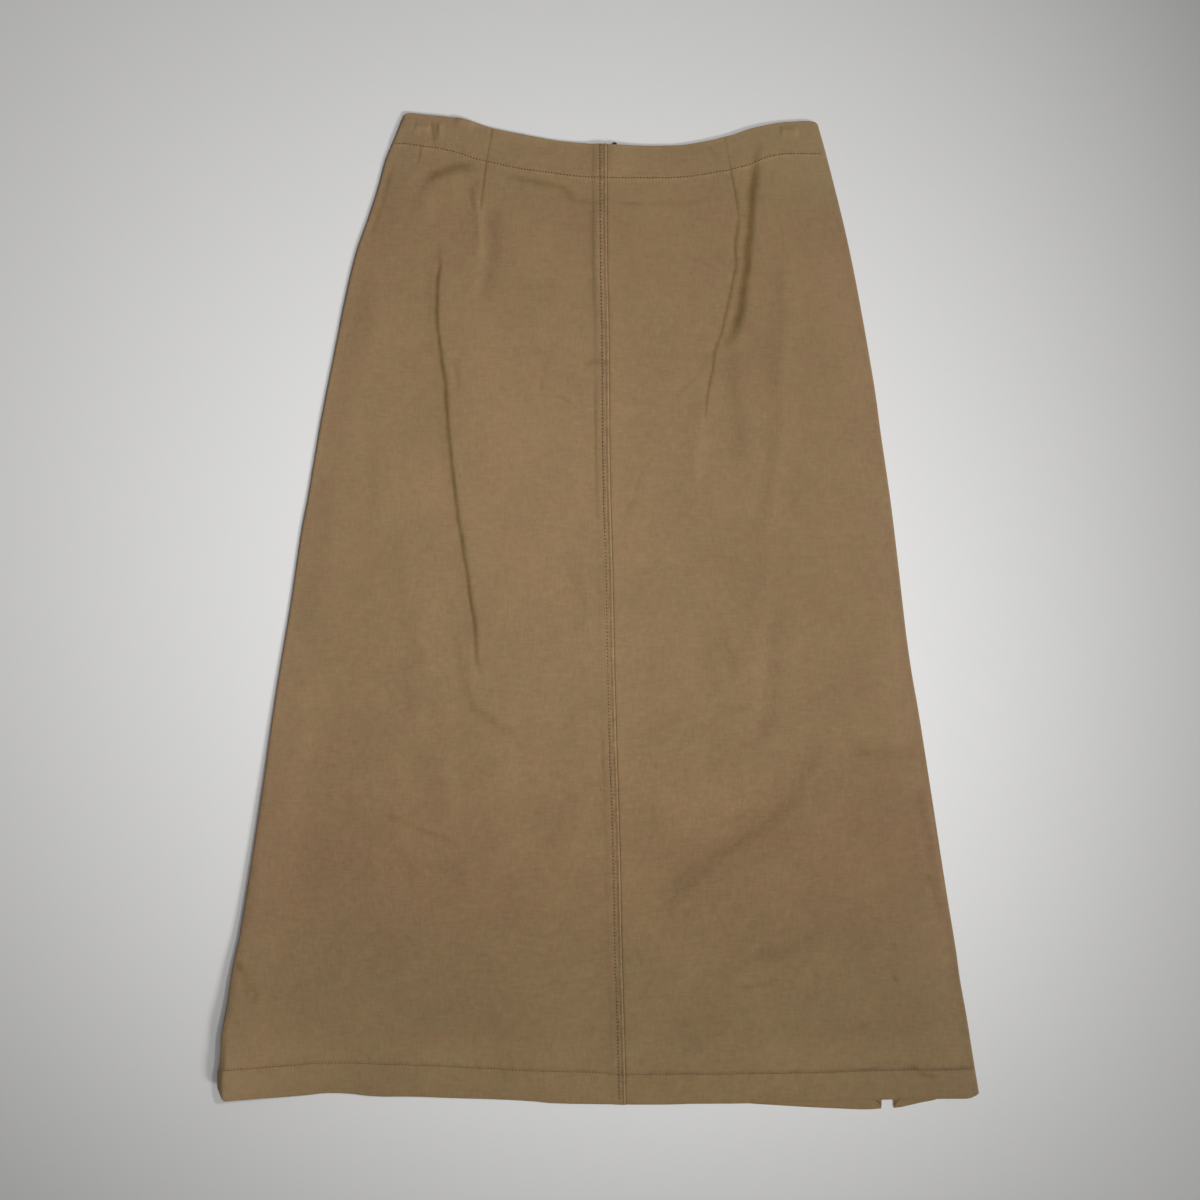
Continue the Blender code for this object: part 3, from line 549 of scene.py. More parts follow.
def bell(distance, reach):
    """Return 1 at no distance, falling softly to nothing past the reach."""
    return np.exp(-((distance / reach) ** 2))


def rolled(distance, radius):
    """Return the share of its full height that cloth has near a rounded edge."""
    share = np.clip(distance / radius, 0.0, 1.0)
    return np.sqrt(1.0 - (1.0 - share) ** 2)


def back_waist(x):
    """Return the y of the back's waist edge."""
    return waist(x) - BACK_SHORTER


def back_facing_row(x):
    """Return the y of the back facing's topstitching."""
    return facing_row(x) - BACK_SHORTER


def back_hem_row(x):
    """Return the y of the back hem's topstitching."""
    return back_hem(x) + BACK_HEM_DEPTH


def slit_left(y):
    """Return the x of the slit's left edge, and of its seam above it."""
    open_share = np.maximum(0.0, (SLIT_TOP - y) / (SLIT_TOP - SLIT_FOOT))
    return slit_seam(y) - SOLID_GAP - SLIT_SPREAD * open_share


def lift(x, y):
    """Return how far the lower left corner holds the cloth off the surface."""
    inward = np.maximum(x - left_side(y), 0.0)
    edge = side_lift(y)
    raised = edge * np.maximum(0.0, 1.0 - inward / LIFT_ACROSS) ** LIFT_POWER
    facet = ease((FACET_TOP - y) / FACET_RUN)
    soft = DROOP_SHARE * edge * bell(inward, DROOP_REACH)
    flat = FACET_DROP * np.clip(1.0 - inward / FACET_WIDTH, 0.0, 1.0)
    return raised - soft * (1.0 - facet) - flat * facet


def rumple(x, y, size_x, size_y, seed):
    """Return smooth seeded unevenness from -1 to 1, with bumps of about that size."""
    values = np.random.default_rng(SEED + seed).uniform(-1.0, 1.0, (CELLS, CELLS))
    across = x / size_x + CELL_START[0]
    along = y / size_y + CELL_START[1]
    i = np.floor(across).astype(int)
    j = np.floor(along).astype(int)
    s = ease(across - i)
    t = ease(along - j)

    def between_cells(k):
        return values[i % CELLS, k % CELLS] * (1 - s) + values[(i + 1) % CELLS, k % CELLS] * s

    return between_cells(j) * (1 - t) + between_cells(j + 1) * t


def smooth_path(path, steps=5):
    """Return the points of a path, rounded at its corners."""
    points = np.array(path, float)
    if len(points) < 3:
        return points
    padded = np.vstack([2 * points[0] - points[1], points, 2 * points[-1] - points[-2]])
    shares = np.linspace(0.0, 1.0, steps, endpoint=False)[:, None]
    pieces = []
    for a, b, c, d in zip(padded, padded[1:], padded[2:], padded[3:]):
        curve = 2 * b + (c - a) * shares + (2 * a - 5 * b + 4 * c - d) * shares ** 2
        pieces.append(0.5 * (curve + (3 * b - a - 3 * c + d) * shares ** 3))
    return np.vstack([*pieces, points[-1:]])


def beside_path(path, reach, x, y):
    """Return which places lie near a path, and their distance, side and run along it."""
    points = smooth_path(path)
    low = points.min(0) - reach
    high = points.max(0) + reach
    near = (x > low[0]) & (x < high[0]) & (y > low[1]) & (y < high[1])
    px, py = x[near], y[near]
    nearest = np.full(px.shape, np.inf)
    side = np.zeros(px.shape)
    along = np.zeros(px.shape)
    travelled = 0.0
    for (ax, ay), (bx, by) in zip(points, points[1:]):
        dx, dy = bx - ax, by - ay
        run = math.hypot(dx, dy)
        share = np.clip(((px - ax) * dx + (py - ay) * dy) / run ** 2, 0.0, 1.0)
        away = np.hypot(px - ax - dx * share, py - ay - dy * share)
        closer = away < nearest
        nearest = np.where(closer, away, nearest)
        side = np.where(closer, dx * (py - ay) - dy * (px - ax), side)
        along = np.where(closer, travelled + run * share, along)
        travelled += run
    return near, nearest, side, along, travelled


def folds_at(x, y, folds):
    """Return the height that folds add."""
    height = np.zeros(x.shape)
    for fold in folds:
        reach = 3 * max(fold.left, fold.right)
        near, away, side, along, length = beside_path(fold.path, reach, x, y)
        ends = ease(np.minimum(along, length - along) / fold.fade)
        height[near] += fold.height * ends * bell(away, np.where(side > 0, fold.right, fold.left))
    return height


def creases_at(x, y):
    """Return the depth of all the fine creases, and the painted shade along them."""
    depth = np.zeros(x.shape)
    mark = np.zeros(x.shape)
    wandering_x = x + CREASE_WANDER * rumple(x, y, 15, 15, 14)
    wandering_y = y + CREASE_WANDER * rumple(x, y, 15, 15, 15)
    broken = 1.0 + CREASE_BREAK * rumple(x, y, 11, 9, 16)
    for crease in CREASES:
        near, away, _, along, length = beside_path(crease.path, 3 * crease.reach, wandering_x, wandering_y)
        ends = ease(np.minimum(along, length - along) / crease.fade)
        line = ends * bell(away, crease.reach) * broken[near]
        depth[near] += crease.depth * line
        mark[near] = np.maximum(mark[near], crease.mark * line)
    return depth, mark


class Edges(NamedTuple):
    """The lines that run across a face: its waist edge, hem edge and rows of topstitching."""
    waist: object
    facing_row: object
    hem_row: object
    hem: object


FRONT_EDGES = Edges(waist, facing_row, hem_row, front_hem)
BACK_EDGES = Edges(back_waist, back_facing_row, back_hem_row, back_hem)


class Place(NamedTuple):
    """Distances of places on a face from its edges and rows."""
    side: np.ndarray
    waist: np.ndarray
    hem: np.ndarray
    below_facing: np.ndarray
    above_hem: np.ndarray

    @property
    def band(self):
        """Share of the turned cloth: 1 on facing and hem, 0 off them."""
        return 1.0 - ease(np.minimum(self.below_facing, self.above_hem) / BAND_STEP)


def place_of(x, y, edges):
    """Return where places lie between the edges."""
    side = np.minimum(x - left_side(y), right_side(y) - x)
    return Place(side, edges.waist(x) - y, y - edges.hem(x), edges.facing_row(x) - y, y - edges.hem_row(x))


def bumps(x, y, layers):
    """Return the height of some layers of unevenness together."""
    return sum(height * rumple(x, y, across, along, seed) for height, across, along, seed in layers)


def unevenness(x, y, place):
    """Return the small bumps of washed cloth, more of them towards the hem."""
    low = ease((LOW_TOP - y) / LOW_RUN)
    small = (SMALL_BUMP + LOW_SMALL_BUMP * low) * rumple(x, y, 11, 13, 3)
    small = small + LOW_FINE_BUMP * low * rumple(x, y, 6, 6.5, 4)
    slanted = LOW_SLANTED_BUMP * low * rumple(x + BUMP_SLANT * y, y - BUMP_SLANT * x, 38, 11, 5)
    hem_middle, hem_reach = HEM_PUCKER_PLACE
    waist_middle, waist_reach = WAIST_PUCKER_PLACE
    hem_pucker = bell(place.above_hem + hem_middle, hem_reach) * bumps(x, y, HEM_PUCKERS)
    waist_pucker = bell(place.below_facing + waist_middle, waist_reach) * bumps(x, y, WAIST_PUCKERS)
    settled = ease(place.side / BUMP_SETTLE)
    return (bumps(x, y, SOFT_BUMPS) + small + slanted + hem_pucker + waist_pucker) * settled


def soft_line(distance, size):
    """Return a soft line of a given strength or depth, and reach."""
    strength, reach = size
    return strength * bell(distance, reach)


def stitch_ditches(x, y, place, left_panel):
    """Return the depths of the ditches that topstitching and dart seams pull in."""
    rows = soft_line(place.below_facing, FACING_DITCH) + soft_line(place.above_hem, HEM_DITCH)
    which = 0 if left_panel else 1
    dart = (left_dart, right_dart)[which]
    if left_panel:
        rows = rows + soft_line(centre_front(y) - x - SECOND_ROW, LAP_DITCH)
    shows = 1.0 - DART_HIDDEN[which] * ease((FACING_DEPTH - place.waist) / FACING_RUN)
    along = ease((y - DART_POINTS[which]) / DART_FADE)
    return rows, DART_DEPTH * shows * along * bell(x - dart(y), DART_REACH)


def front_surface(x, y, left_panel):
    """Return the height of a front panel's outer side, its thickness, and the painted shade along its lines.
    """
    place = place_of(x, y, FRONT_EDGES)
    band = place.band
    inward = np.minimum(np.minimum(place.side, place.waist), place.hem)
    room = SOLID_GAP + AIR * ease(inward / EDGE_RUN)
    crease_depth, crease_shade = creases_at(x, y)
    settled = ease(place.side / FOLD_SETTLE)
    fold_share = FOLD_AT_SIDE + (1.0 - FOLD_AT_SIDE) * settled
    rows, dart = stitch_ditches(x, y, place, left_panel)
    outer = lift(x, y) + 2 * SOLID_WALL + room + BAND_RISE * BAND_EXTRA * band
    outer = outer + folds_at(x, y, FOLDS) * fold_share + unevenness(x, y, place)
    outer = outer - settled * crease_depth - rows - dart - WAIST_SETTLE * bell(place.waist, WAIST_RUN)
    thickness = cloth_wall() + BAND_THICKER * BAND_EXTRA * band
    # Painted shade in creases, in the ditches of rows and darts and along the hem's edge; on the left panel
    # at the allowances' ends, on the right along the lapped edge
    mark = np.maximum(crease_shade, ROW_SHADE * rows + DART_SHADE * dart / DART_DEPTH)
    mark = np.maximum(mark, soft_line(place.hem, HEM_SHADOW))
    from_lap = centre_front(y) - x
    if left_panel:
        allowance = ease((LAP_WIDTH + LAP_STEP - from_lap) / LAP_STEP)
        shows = allowance_shows(y)
        ridge = sum(height * bell(from_lap - middle, reach) for middle, height, reach in LAP_RIDGES)
        outer = outer + LAP_EXTRA * shows * allowance + ridge * (1.0 + RIDGE_UNEVEN * rumple(x, y, 40, 5, 10))
        thickness = thickness + LAP_THICKER * allowance
        mark = np.maximum(mark, shows * soft_line(from_lap - LAP_WIDTH - LAP_STEP / 2, ALLOWANCE_SHADE))
    else:
        mark = np.maximum(mark, soft_line(from_lap, LAP_SHADOW))
    return outer, thickness, mark


def pale_at(x, y, place):
    """Return how much paler the cloth is: at its paler places, along its right side, and at its waist edge,
    which is partly rubbed pale and partly painted highlight on its rolled edge.
    """
    pale = np.zeros(x.shape)
    broken = 0.75 + 0.25 * rumple(x, y, 5, 5, 11)
    for at_x, at_y, across, along, strength in PALE_PLACES:
        away = np.hypot((x - at_x) / across, (y - at_y) / along)
        pale = np.maximum(pale, strength * broken * bell(away, 1.0))
    lightening = soft_line(right_side(y) - x, PALE_RIGHT_EDGE) + soft_line(place.waist - 1.0, WAIST_WEAR_AND_HIGHLIGHT)
    return np.clip(pale + lightening * (0.7 + 0.3 * rumple(x, y, 9, 9, 12)), 0.0, 1.0)


def worked_at(x, y, place, left_panel):
    """Return where stitching roughens the cloth: between the centre rows and along the bands' rows."""
    rows = np.maximum(bell(place.below_facing, 2.6), bell(place.above_hem, 2.2)) * 0.5
    from_lap = centre_front(y) - x
    lap = ease(from_lap / 0.6) * (1.0 - ease((from_lap - SECOND_ROW) / 1.4))
    return np.maximum(rows, lap) if left_panel else rows


def olive_at(x, y):
    """Return how far the dye leans from brown towards olive, in hundredths: most near waist and hem."""
    ends = 1.2 * ease((y - 330.0) / 90.0) + 1.1 * ease((-255.0 - y) / 70.0)
    browner = 0.6 * bell(y - 320.0, 60.0) + 1.6 * bell(y + 205.0, 75.0)
    upper_right = 2.0 * bell(x - 190.0, 70.0) * ease((y - 310.0) / 80.0)
    lower_right = 0.9 * bell(x - 300.0, 90.0) * ease((-260.0 - y) / 100.0)
    return 0.2 + ends - browner + upper_right + lower_right


def yellow_at(x, y, place):
    """Return how far the dye leans towards yellow, in hundredths: more low in the middle, less at edges."""
    middle = 4.5 * bell(x - 60.0, 200.0) * ease((-60.0 - y) / 160.0)
    return middle - 4.0 * bell(place.side, 30.0) - 2.5 * ease((y - 350.0) / 70.0)


def tone_and_shade_at(x, y, place):
    """Return how much deeper the cloth's tone is, most of all above the hem's middle; this is partly uneven
    dye, partly painted light and shade, with painted shade on edges that turn away and painted light on the
    lifted corner.
    """
    inward = (1.0 - 0.6 * bell(place.side, 48.0)) * (1.0 - 0.45 * bell(place.hem, 24.0))
    deep = ease((130.0 - y) / 400.0) * inward * (0.92 + 0.08 * rumple(x, y, 60, 50, 13))
    deep = deep + soft_line(x - DEEP_ROLL_X, DEEP_ROLL) * ease((350.0 - y) / 140.0) * ease((y + 330.0) / 90.0)
    deep = deep + soft_line(y - DEEP_ACROSS_Y, DEEP_ACROSS)
    for at_x, across, at_y, along, strength in DEEP_AREAS:
        deep = deep + strength * bell(x - at_x, across) * bell(y - at_y, along)
    paler = soft_line(place.waist, PALE_WAIST) + soft_line(place.hem - PALE_HEM_RISE, PALE_HEM)
    paler = paler + (0.2 + 0.3 * ease((-20.0 - y) / 80.0)) * bell(x - left_side(y), 40.0)
    paler = paler + soft_line(x - PALE_UPPER_RIGHT_X, PALE_UPPER_RIGHT) * ease((y - 330.0) / 60.0)
    # Painted light on the lifted lower left corner
    paler = paler + soft_line(np.hypot(x + 320.0, (y + 420.0) * 0.8), LIT_CORNER)
    # Painted shade on the side edges where they turn away from the light
    turned = soft_line(x - left_side(y), SHADED_LEFT_EDGE) * ease((-60.0 - y) / 120.0)
    turned = turned + soft_line(right_side(y) - x, SHADED_RIGHT_EDGE) * ease((40.0 - y) / 100.0)
    return deep + turned - paler


def cloth_masks(x, y, place, mark, left_panel, pale_share=1.0, tone=1.0):
    """Return what the twill's material reads at each point of a panel, by name."""
    crumple_top, crumple_run = CRUMPLE_FROM
    return {
        "mark": mark,
        "pale": pale_at(x, y, place) * pale_share,
        "worked": worked_at(x, y, place, left_panel),
        "olive": olive_at(x, y),
        "yellow": yellow_at(x, y, place),
        "rumpled": ease((crumple_top - y) / crumple_run),
        "deep": tone * tone_and_shade_at(x, y, place),
    }


def cloth_wall():
    """Return the thickness of one layer of cloth in millimetres."""
    return bpy.context.scene.skirt_cloth.wall / MILLIMETRE


def row_shares(step_table, high, low):
    """Return the spacing of rows between two heights as shares from 0 to 1."""
    step_at = smooth_line(step_table)
    places = [high]
    while places[-1] > low:
        places.append(places[-1] - float(step_at(places[-1])))
    return (high - np.array(places)) / (high - places[-1])


def meeting_point(line, edge):
    """Return the y at which a line that runs down meets an edge that runs across."""
    y = float(edge(0.0))
    for _ in range(MEETING_STEPS):
        y = float(edge(line(y)))
    return y


def plan_of(columns, edges, edge_rows, step_table):
    """Return the x and y of a panel's grid: a column of points for each line, waist to hem."""
    shares = row_shares(step_table, *SPACED_FROM)[1:-1]
    grid = []
    for line in columns:
        high, high_row, low_row, low = (meeting_point(line, edge) for edge in edges)
        upper = high - rows_beside(high - high_row, edge_rows)
        lower = low + rows_beside(low_row - low, edge_rows)[::-1]
        middle = upper[-1] + (lower[0] - upper[-1]) * shares
        y = np.concatenate([upper, middle, lower])
        grid.append((line(y), y))
    grid = np.array(grid)
    return grid[:, 0], grid[:, 1]


def rows_beside(depth, edge_rows):
    """Return the distances of the mesh's rows from a turned edge that is stitched at a depth."""
    even = np.linspace(edge_rows[-1], depth + STITCH_ROWS[0], BAND_ROWS)[1:-1]
    return np.array([*edge_rows, *even, *(depth + step for step in STITCH_ROWS)])


def surface_mesh(name, corners, quads, masks):
    """Make a smooth mesh in metres from points in millimetres, with its masks."""
    mesh = bpy.data.meshes.new(name)
    mesh.from_pydata((corners * MILLIMETRE).tolist(), [], quads.tolist())
    for label, values in masks.items():
        mesh.attributes.new(label, "FLOAT", "POINT").data.foreach_set("value", values.astype(np.float32))
    mesh.shade_smooth()
    mesh.update()
    return mesh


def add_piece(mesh, material):
    """Put a mesh in the scene under its own name, with its material."""
    mesh.materials.append(material)
    piece = bpy.data.objects.new(mesh.name, mesh)
    bpy.context.scene.collection.objects.link(piece)
    return piece


def add_cloth(name, x, y, over, under, masks, material):
    """Make a closed thin shell of cloth: its outer and inner side share the points of the rim."""
    inside = np.zeros(x.shape, bool)
    inside[1:-1, 1:-1] = True
    over_index = np.arange(x.size).reshape(x.shape)
    under_index = over_index.copy()
    under_index[inside] = x.size + np.arange(inside.sum())
    corners = np.vstack([
        np.column_stack([x.ravel(), y.ravel(), over.ravel()]),
        np.column_stack([x[inside], y[inside], under[inside]]),
    ])

    def quads(index):
        return np.stack([index[:-1, :-1], index[:-1, 1:], index[1:, 1:], index[1:, :-1]], -1).reshape(-1, 4)

    faces = np.vstack([quads(over_index), quads(under_index)[:, ::-1]])
    spread_masks = {key: np.concatenate([mask.ravel(), mask[inside]]) for key, mask in masks.items()}
    return add_piece(surface_mesh(name, corners, faces, spread_masks), material)


def close_edges(over, under, place, seam_height, openness):
    """Bring the two sides of a layer together at its edges, and at the seam's height along the sides."""
    middle = (over + under) / 2
    closing = seam_height + (middle - seam_height) * ease((place.side - SEAM_HOLD) / SEAM_RELEASE)
    openness = openness * rolled(place.waist, FOLD_RADIUS) * rolled(place.hem, FOLD_RADIUS)
    return closing + (over - closing) * openness, closing + (under - closing) * openness


def finish_panel(name, x, y, over, under, masks):
    piece = add_cloth(f"{name}_cloth", x, y, over, under, masks, twill_material())
    wear_by_frame(piece, f"{name}_panel")


def front_panel(name, columns, left_panel):
    """Make one front panel of cloth over its columns."""
    x, y = plan_of(columns, FRONT_EDGES, EDGE_ROWS, FRONT_ROW_STEP)
    over, thickness, mark = front_surface(x, y, left_panel)
    place = place_of(x, y, FRONT_EDGES)
    under = over - thickness
    if left_panel:
        from_seam = centre_front(y) - x
        right_top, _, _ = front_surface(x, y, False)
        lapped = ease((LAP_WIDTH - from_seam) / LAP_MELD)
        under = under + (np.maximum(right_top + LAP_CLEAR, under) - under) * lapped
    else:
        from_seam = x - centre_front(y) + UNDERLAP
        over = over - UNDERLAP_DROP * (1.0 - ease((from_seam - UNDERLAP + UNDERLAP_RUN) / UNDERLAP_RUN))
    side_roll = LEFT_ROLL if left_panel else RIGHT_ROLL
    openness = rolled(from_seam, FOLD_RADIUS) * rolled(place.side, side_roll)
    over, under = close_edges(over, under, place, lift(x, y) + SEAM_LEVEL + SEAM_SLIT, openness)
    finish_panel(name, x, y, over, under, cloth_masks(x, y, place, mark, left_panel))


def back_rows(place):
    """Return where the back's rows of topstitching run."""
    return bell(place.above_hem, BACK_DITCH_REACH) + bell(place.below_facing, BACK_DITCH_REACH)


def back_outside(x, y):
    """Return the height of the back's outer side, which lies flat but for a few soft arches."""
    place = place_of(x, y, BACK_EDGES)
    settled = ease(place.side / BACK_SETTLE)
    arches = np.maximum(folds_at(x, y, BACK_FOLDS), 0.0)
    hang = BACK_HANG * ease((HANG_TOP - y) / HANG_RUN) * bell(place.side, HANG_ACROSS) * settled
    hang = np.minimum(hang, HANG_LIMIT * lift(x, y)) * (x < 0)
    ditch = BACK_DITCH * back_rows(place) * settled
    return lift(x, y) - hang + arches * ease(place.side / ARCH_SETTLE) + ditch


def back_panel(name, columns, seams):
    """Make one back panel of cloth, whose outer side lies on the surface."""
    x, y = plan_of(columns, BACK_EDGES, BACK_EDGE_ROWS, BACK_ROW_STEP)
    place = place_of(x, y, BACK_EDGES)
    stitched = back_rows(place)
    under = back_outside(x, y)
    over = under + cloth_wall() + BAND_THICKER * BAND_EXTRA * place.band - BACK_PINCH * stitched
    seam_distance = np.min([np.abs(x - seam(y)) for seam in seams], axis=0)
    openness = rolled(seam_distance, FOLD_RADIUS) * rolled(place.side, SIDE_RADIUS)
    over, under = close_edges(over, under, place, lift(x, y) + SEAM_LEVEL - SEAM_SLIT, openness)
    # Painted shade in the back's rows, along its mitre seams and along its hem's edge
    mark = np.maximum(BACK_ROW_SHADE * stitched, mitre_shade(x, y, place))
    mark = np.maximum(mark, soft_line(place.hem, HEM_SHADOW))
    masks = cloth_masks(x, y, place, mark, False, BACK_PALE, BACK_TONE)
    finish_panel(name, x, y, over, under, masks)


def mitre_shade(x, y, place):
    """Return the painted shade along the mitre seams where the slit's edges turn at the hem."""
    left = slit_left(y) - x
    right = x - slit_seam(y)
    from_slit = np.where(left > -SLIT_SPREAD / 2, left, right)
    on_line = (from_slit > 0) * (from_slit < MITRE) * (y < SLIT_TOP)
    return soft_line(from_slit - place.hem + MITRE_FOOT, MITRE_SHADOW) * on_line


# ---------------------------------------------------------------- stitching

STITCH_RINGS = ((-0.5, 0.55, -0.20), (-0.4, 0.9, 0.02), (-0.15, 1.0, 0.12), (0.15, 1.0, 0.12),
                (0.4, 0.9, 0.02), (0.5, 0.55, -0.20))   # share along, share of radius, rise
STITCH_SIDES = 6
# Each needle hole's shadow is painted as a dark flattened bead at a stitch's end
HOLE_RINGS = ((-0.5, 0.3, 0.02), (-0.25, 0.9, 0.05), (0.25, 0.9, 0.05), (0.5, 0.3, 0.02))
ROW_END = 0.6          # how far a row's last stitches stay from its ends
PITCH_UNEVEN = 0.09    # how unevenly long stitches are, as a share of their length
STITCH_STRAY = 0.05    # how far their ends stray
STITCH_SHARE = 0.8     # share of a stitch that its thread shows
HOLE_SIZES = (0.75, 1.15)
HOLE_WIDTH = 0.44
HOLE_FLATNESS = 0.3
POINT_STEP = 2.0       # distance between the points of a row's line
WAIST_SEED = 20
HEM_SEED = 21
CENTRE_SEED = 22

# Where rows of topstitching start and end, and the size of the painted shadow in each needle hole
FACING_STITCHES = (-179.0, 199.0, 1.4)
BACK_FACING_STITCHES = (-178.0, 198.0, 1.2)
HEM_STITCHES = (-326.5, 331.5, 1.0)
BACK_HEM_STITCHES = ((-325.0, 248.0, 1.1), (262.5, 327.0, 1.1))
CENTRE_STITCHES = {FIRST_ROW: (409.5, -433.0, 0.32), SECOND_ROW: (409.8, -433.0, 1.62)}


def tube_batch(middles, directions, lengths, radius, flatness, rings, row):
    """Return the corners and faces of many short closed tubes that lie on a row's surface."""
    turns = np.arange(STITCH_SIDES) * 2 * math.pi / STITCH_SIDES
    shares, widths, rises = (np.array(column) for column in zip(*rings))
    across = np.stack([-directions[:, 1], directions[:, 0]], -1)
    centres = middles[:, None, :] + directions[:, None, :] * (lengths[:, None] * shares[None])[..., None]
    heights = row.surface(centres[..., 0], centres[..., 1]) + row.outward * rises[None]
    sideways = (radius * widths[:, None] * np.cos(turns))[None]
    upward = (radius * flatness * widths[:, None] * np.sin(turns))[None]
    ring_x = centres[..., None, 0] + across[:, None, None, 0] * sideways
    ring_y = centres[..., None, 1] + across[:, None, None, 1] * sideways
    corners = np.stack([ring_x, ring_y, heights[..., None] + upward], -1).reshape(-1, 3)
    ring = np.arange(STITCH_SIDES)
    step = np.roll(ring, -1)
    wall = np.stack([ring, step, step + STITCH_SIDES, ring + STITCH_SIDES], -1)
    walls = [wall + k * STITCH_SIDES for k in range(len(rings) - 1)]
    cap = np.array([[0, 1, 2, 3], [0, 3, 4, 5]])
    one = np.vstack([*walls, cap[:, ::-1], cap + (len(rings) - 1) * STITCH_SIDES])
    offsets = np.arange(len(middles)) * len(rings) * STITCH_SIDES
    return corners, (one[None] + offsets[:, None, None]).reshape(-1, 4)


class Row(NamedTuple):
    """One row of topstitching: its line, stitch length and surface."""
    line: tuple           # arrays of x and y along the row
    pitch: float
    surface: object       # height of the cloth at places
    hole: float           # size of the painted shadow in each needle hole
    outward: float = 1.0  # 1 on the upper side of the skirt, -1 on its underside


def points_along(line, pitch, generator):
    """Return points at a slightly uneven pitch along a line."""
    x, y = line
    run = np.concatenate([[0.0], np.cumsum(np.hypot(np.diff(x), np.diff(y)))])
    count = int(run[-1] / pitch) + 1
    uneven = generator.uniform(-PITCH_UNEVEN, PITCH_UNEVEN, count) * pitch
    places = np.linspace(ROW_END, run[-1] - ROW_END, count) + uneven
    return np.stack([np.interp(places, run, x), np.interp(places, run, y)], -1)


def add_stitching(name, rows, settings, seed):
    """Make the thread of some rows, and dark beads between its stitches: painted shadow in each needle hole.
    """
    generator = np.random.default_rng(SEED + seed)
    radius = settings.thickness / MILLIMETRE / 2
    parts = {"thread": [], "holes": []}
    for row in rows:
        points = points_along(row.line, row.pitch, generator)
        points = points + generator.normal(0.0, STITCH_STRAY, points.shape)
        spans = np.diff(points, axis=0)
        lengths = np.hypot(spans[:, 0], spans[:, 1])
        directions = spans / lengths[:, None]
        middles = (points[1:] + points[:-1]) / 2
        parts["thread"].append(
            tube_batch(middles, directions, lengths * STITCH_SHARE, radius, 1.0, STITCH_RINGS, row))
        sizes = row.hole * generator.uniform(*HOLE_SIZES, len(middles))
        parts["holes"].append(
            tube_batch(points[:-1], directions, sizes, row.hole * HOLE_WIDTH, HOLE_FLATNESS, HOLE_RINGS, row))
    for label, batches in parts.items():
        mesh = surface_mesh(f"{name}_{label}", *joined(batches), {})
        # Dark beads that paint the shadow in each needle hole
        holes = plain_material("needle_hole", HOLE_SHADOW_COLOUR, 0.5, 0.95, 0.1)
        wear_by_frame(add_piece(mesh, thread_material(settings) if label == "thread" else holes))


def joined(batches):
    """Return the corners and faces of several batches as one mesh."""
    corners, faces, offset = [], [], 0
    for batch_corners, batch_faces in batches:
        corners.append(batch_corners)
        faces.append(batch_faces + offset)
        offset += len(batch_corners)
    return np.vstack(corners), np.vstack(faces)


def front_top(x, y):
    """Return the height of the front's outer side, whichever panel is there."""
    left, _, _ = front_surface(x, y, True)
    right, _, _ = front_surface(x, y, False)
    return np.where(x < centre_front(y), left, right)


def across_line(start, end, row):
    """Return a stretch of a row that runs across the skirt."""
    x = np.arange(start, end, POINT_STEP)
    return x, row(x)


def down_line(line, high, low):
    """Return a line down the skirt."""
    y = np.arange(high, low, -POINT_STEP)
    return line(y), y


# ---------------------------------------------------------------- materials

# How much of its colour the cloth gains or loses where each of these is 1
PALE_GAIN = 0.16
SHADE_GAIN = -0.42
DEEP_GAIN = -0.17
OLIVE_LEAN = 0.0115     # and how far its dye leans from red
# How far the painted shade leans redder and yellower
SHADE_REDDER = 0.025
SHADE_YELLOWER = 0.3
YELLOW_LEAN = 0.01
TWILL_LEAN = 38.0       # angle of the ribs, in degrees
WRINKLE_LEAN = -14.0    # angle of the fine wrinkles
RIBS_IN_PITCH = math.pi / 10   # the wave texture's scale for a pitch of 1
# Colour of the beads that paint the shadow in each needle hole
HOLE_SHADOW_COLOUR = (0.094, 0.052, 0.0205, 1.0)
TAPE_COLOUR = (0.24, 0.165, 0.095, 1.0)
TAPE_RIBS = 900.0
HOOK_COLOUR = (0.05, 0.047, 0.045, 1.0)


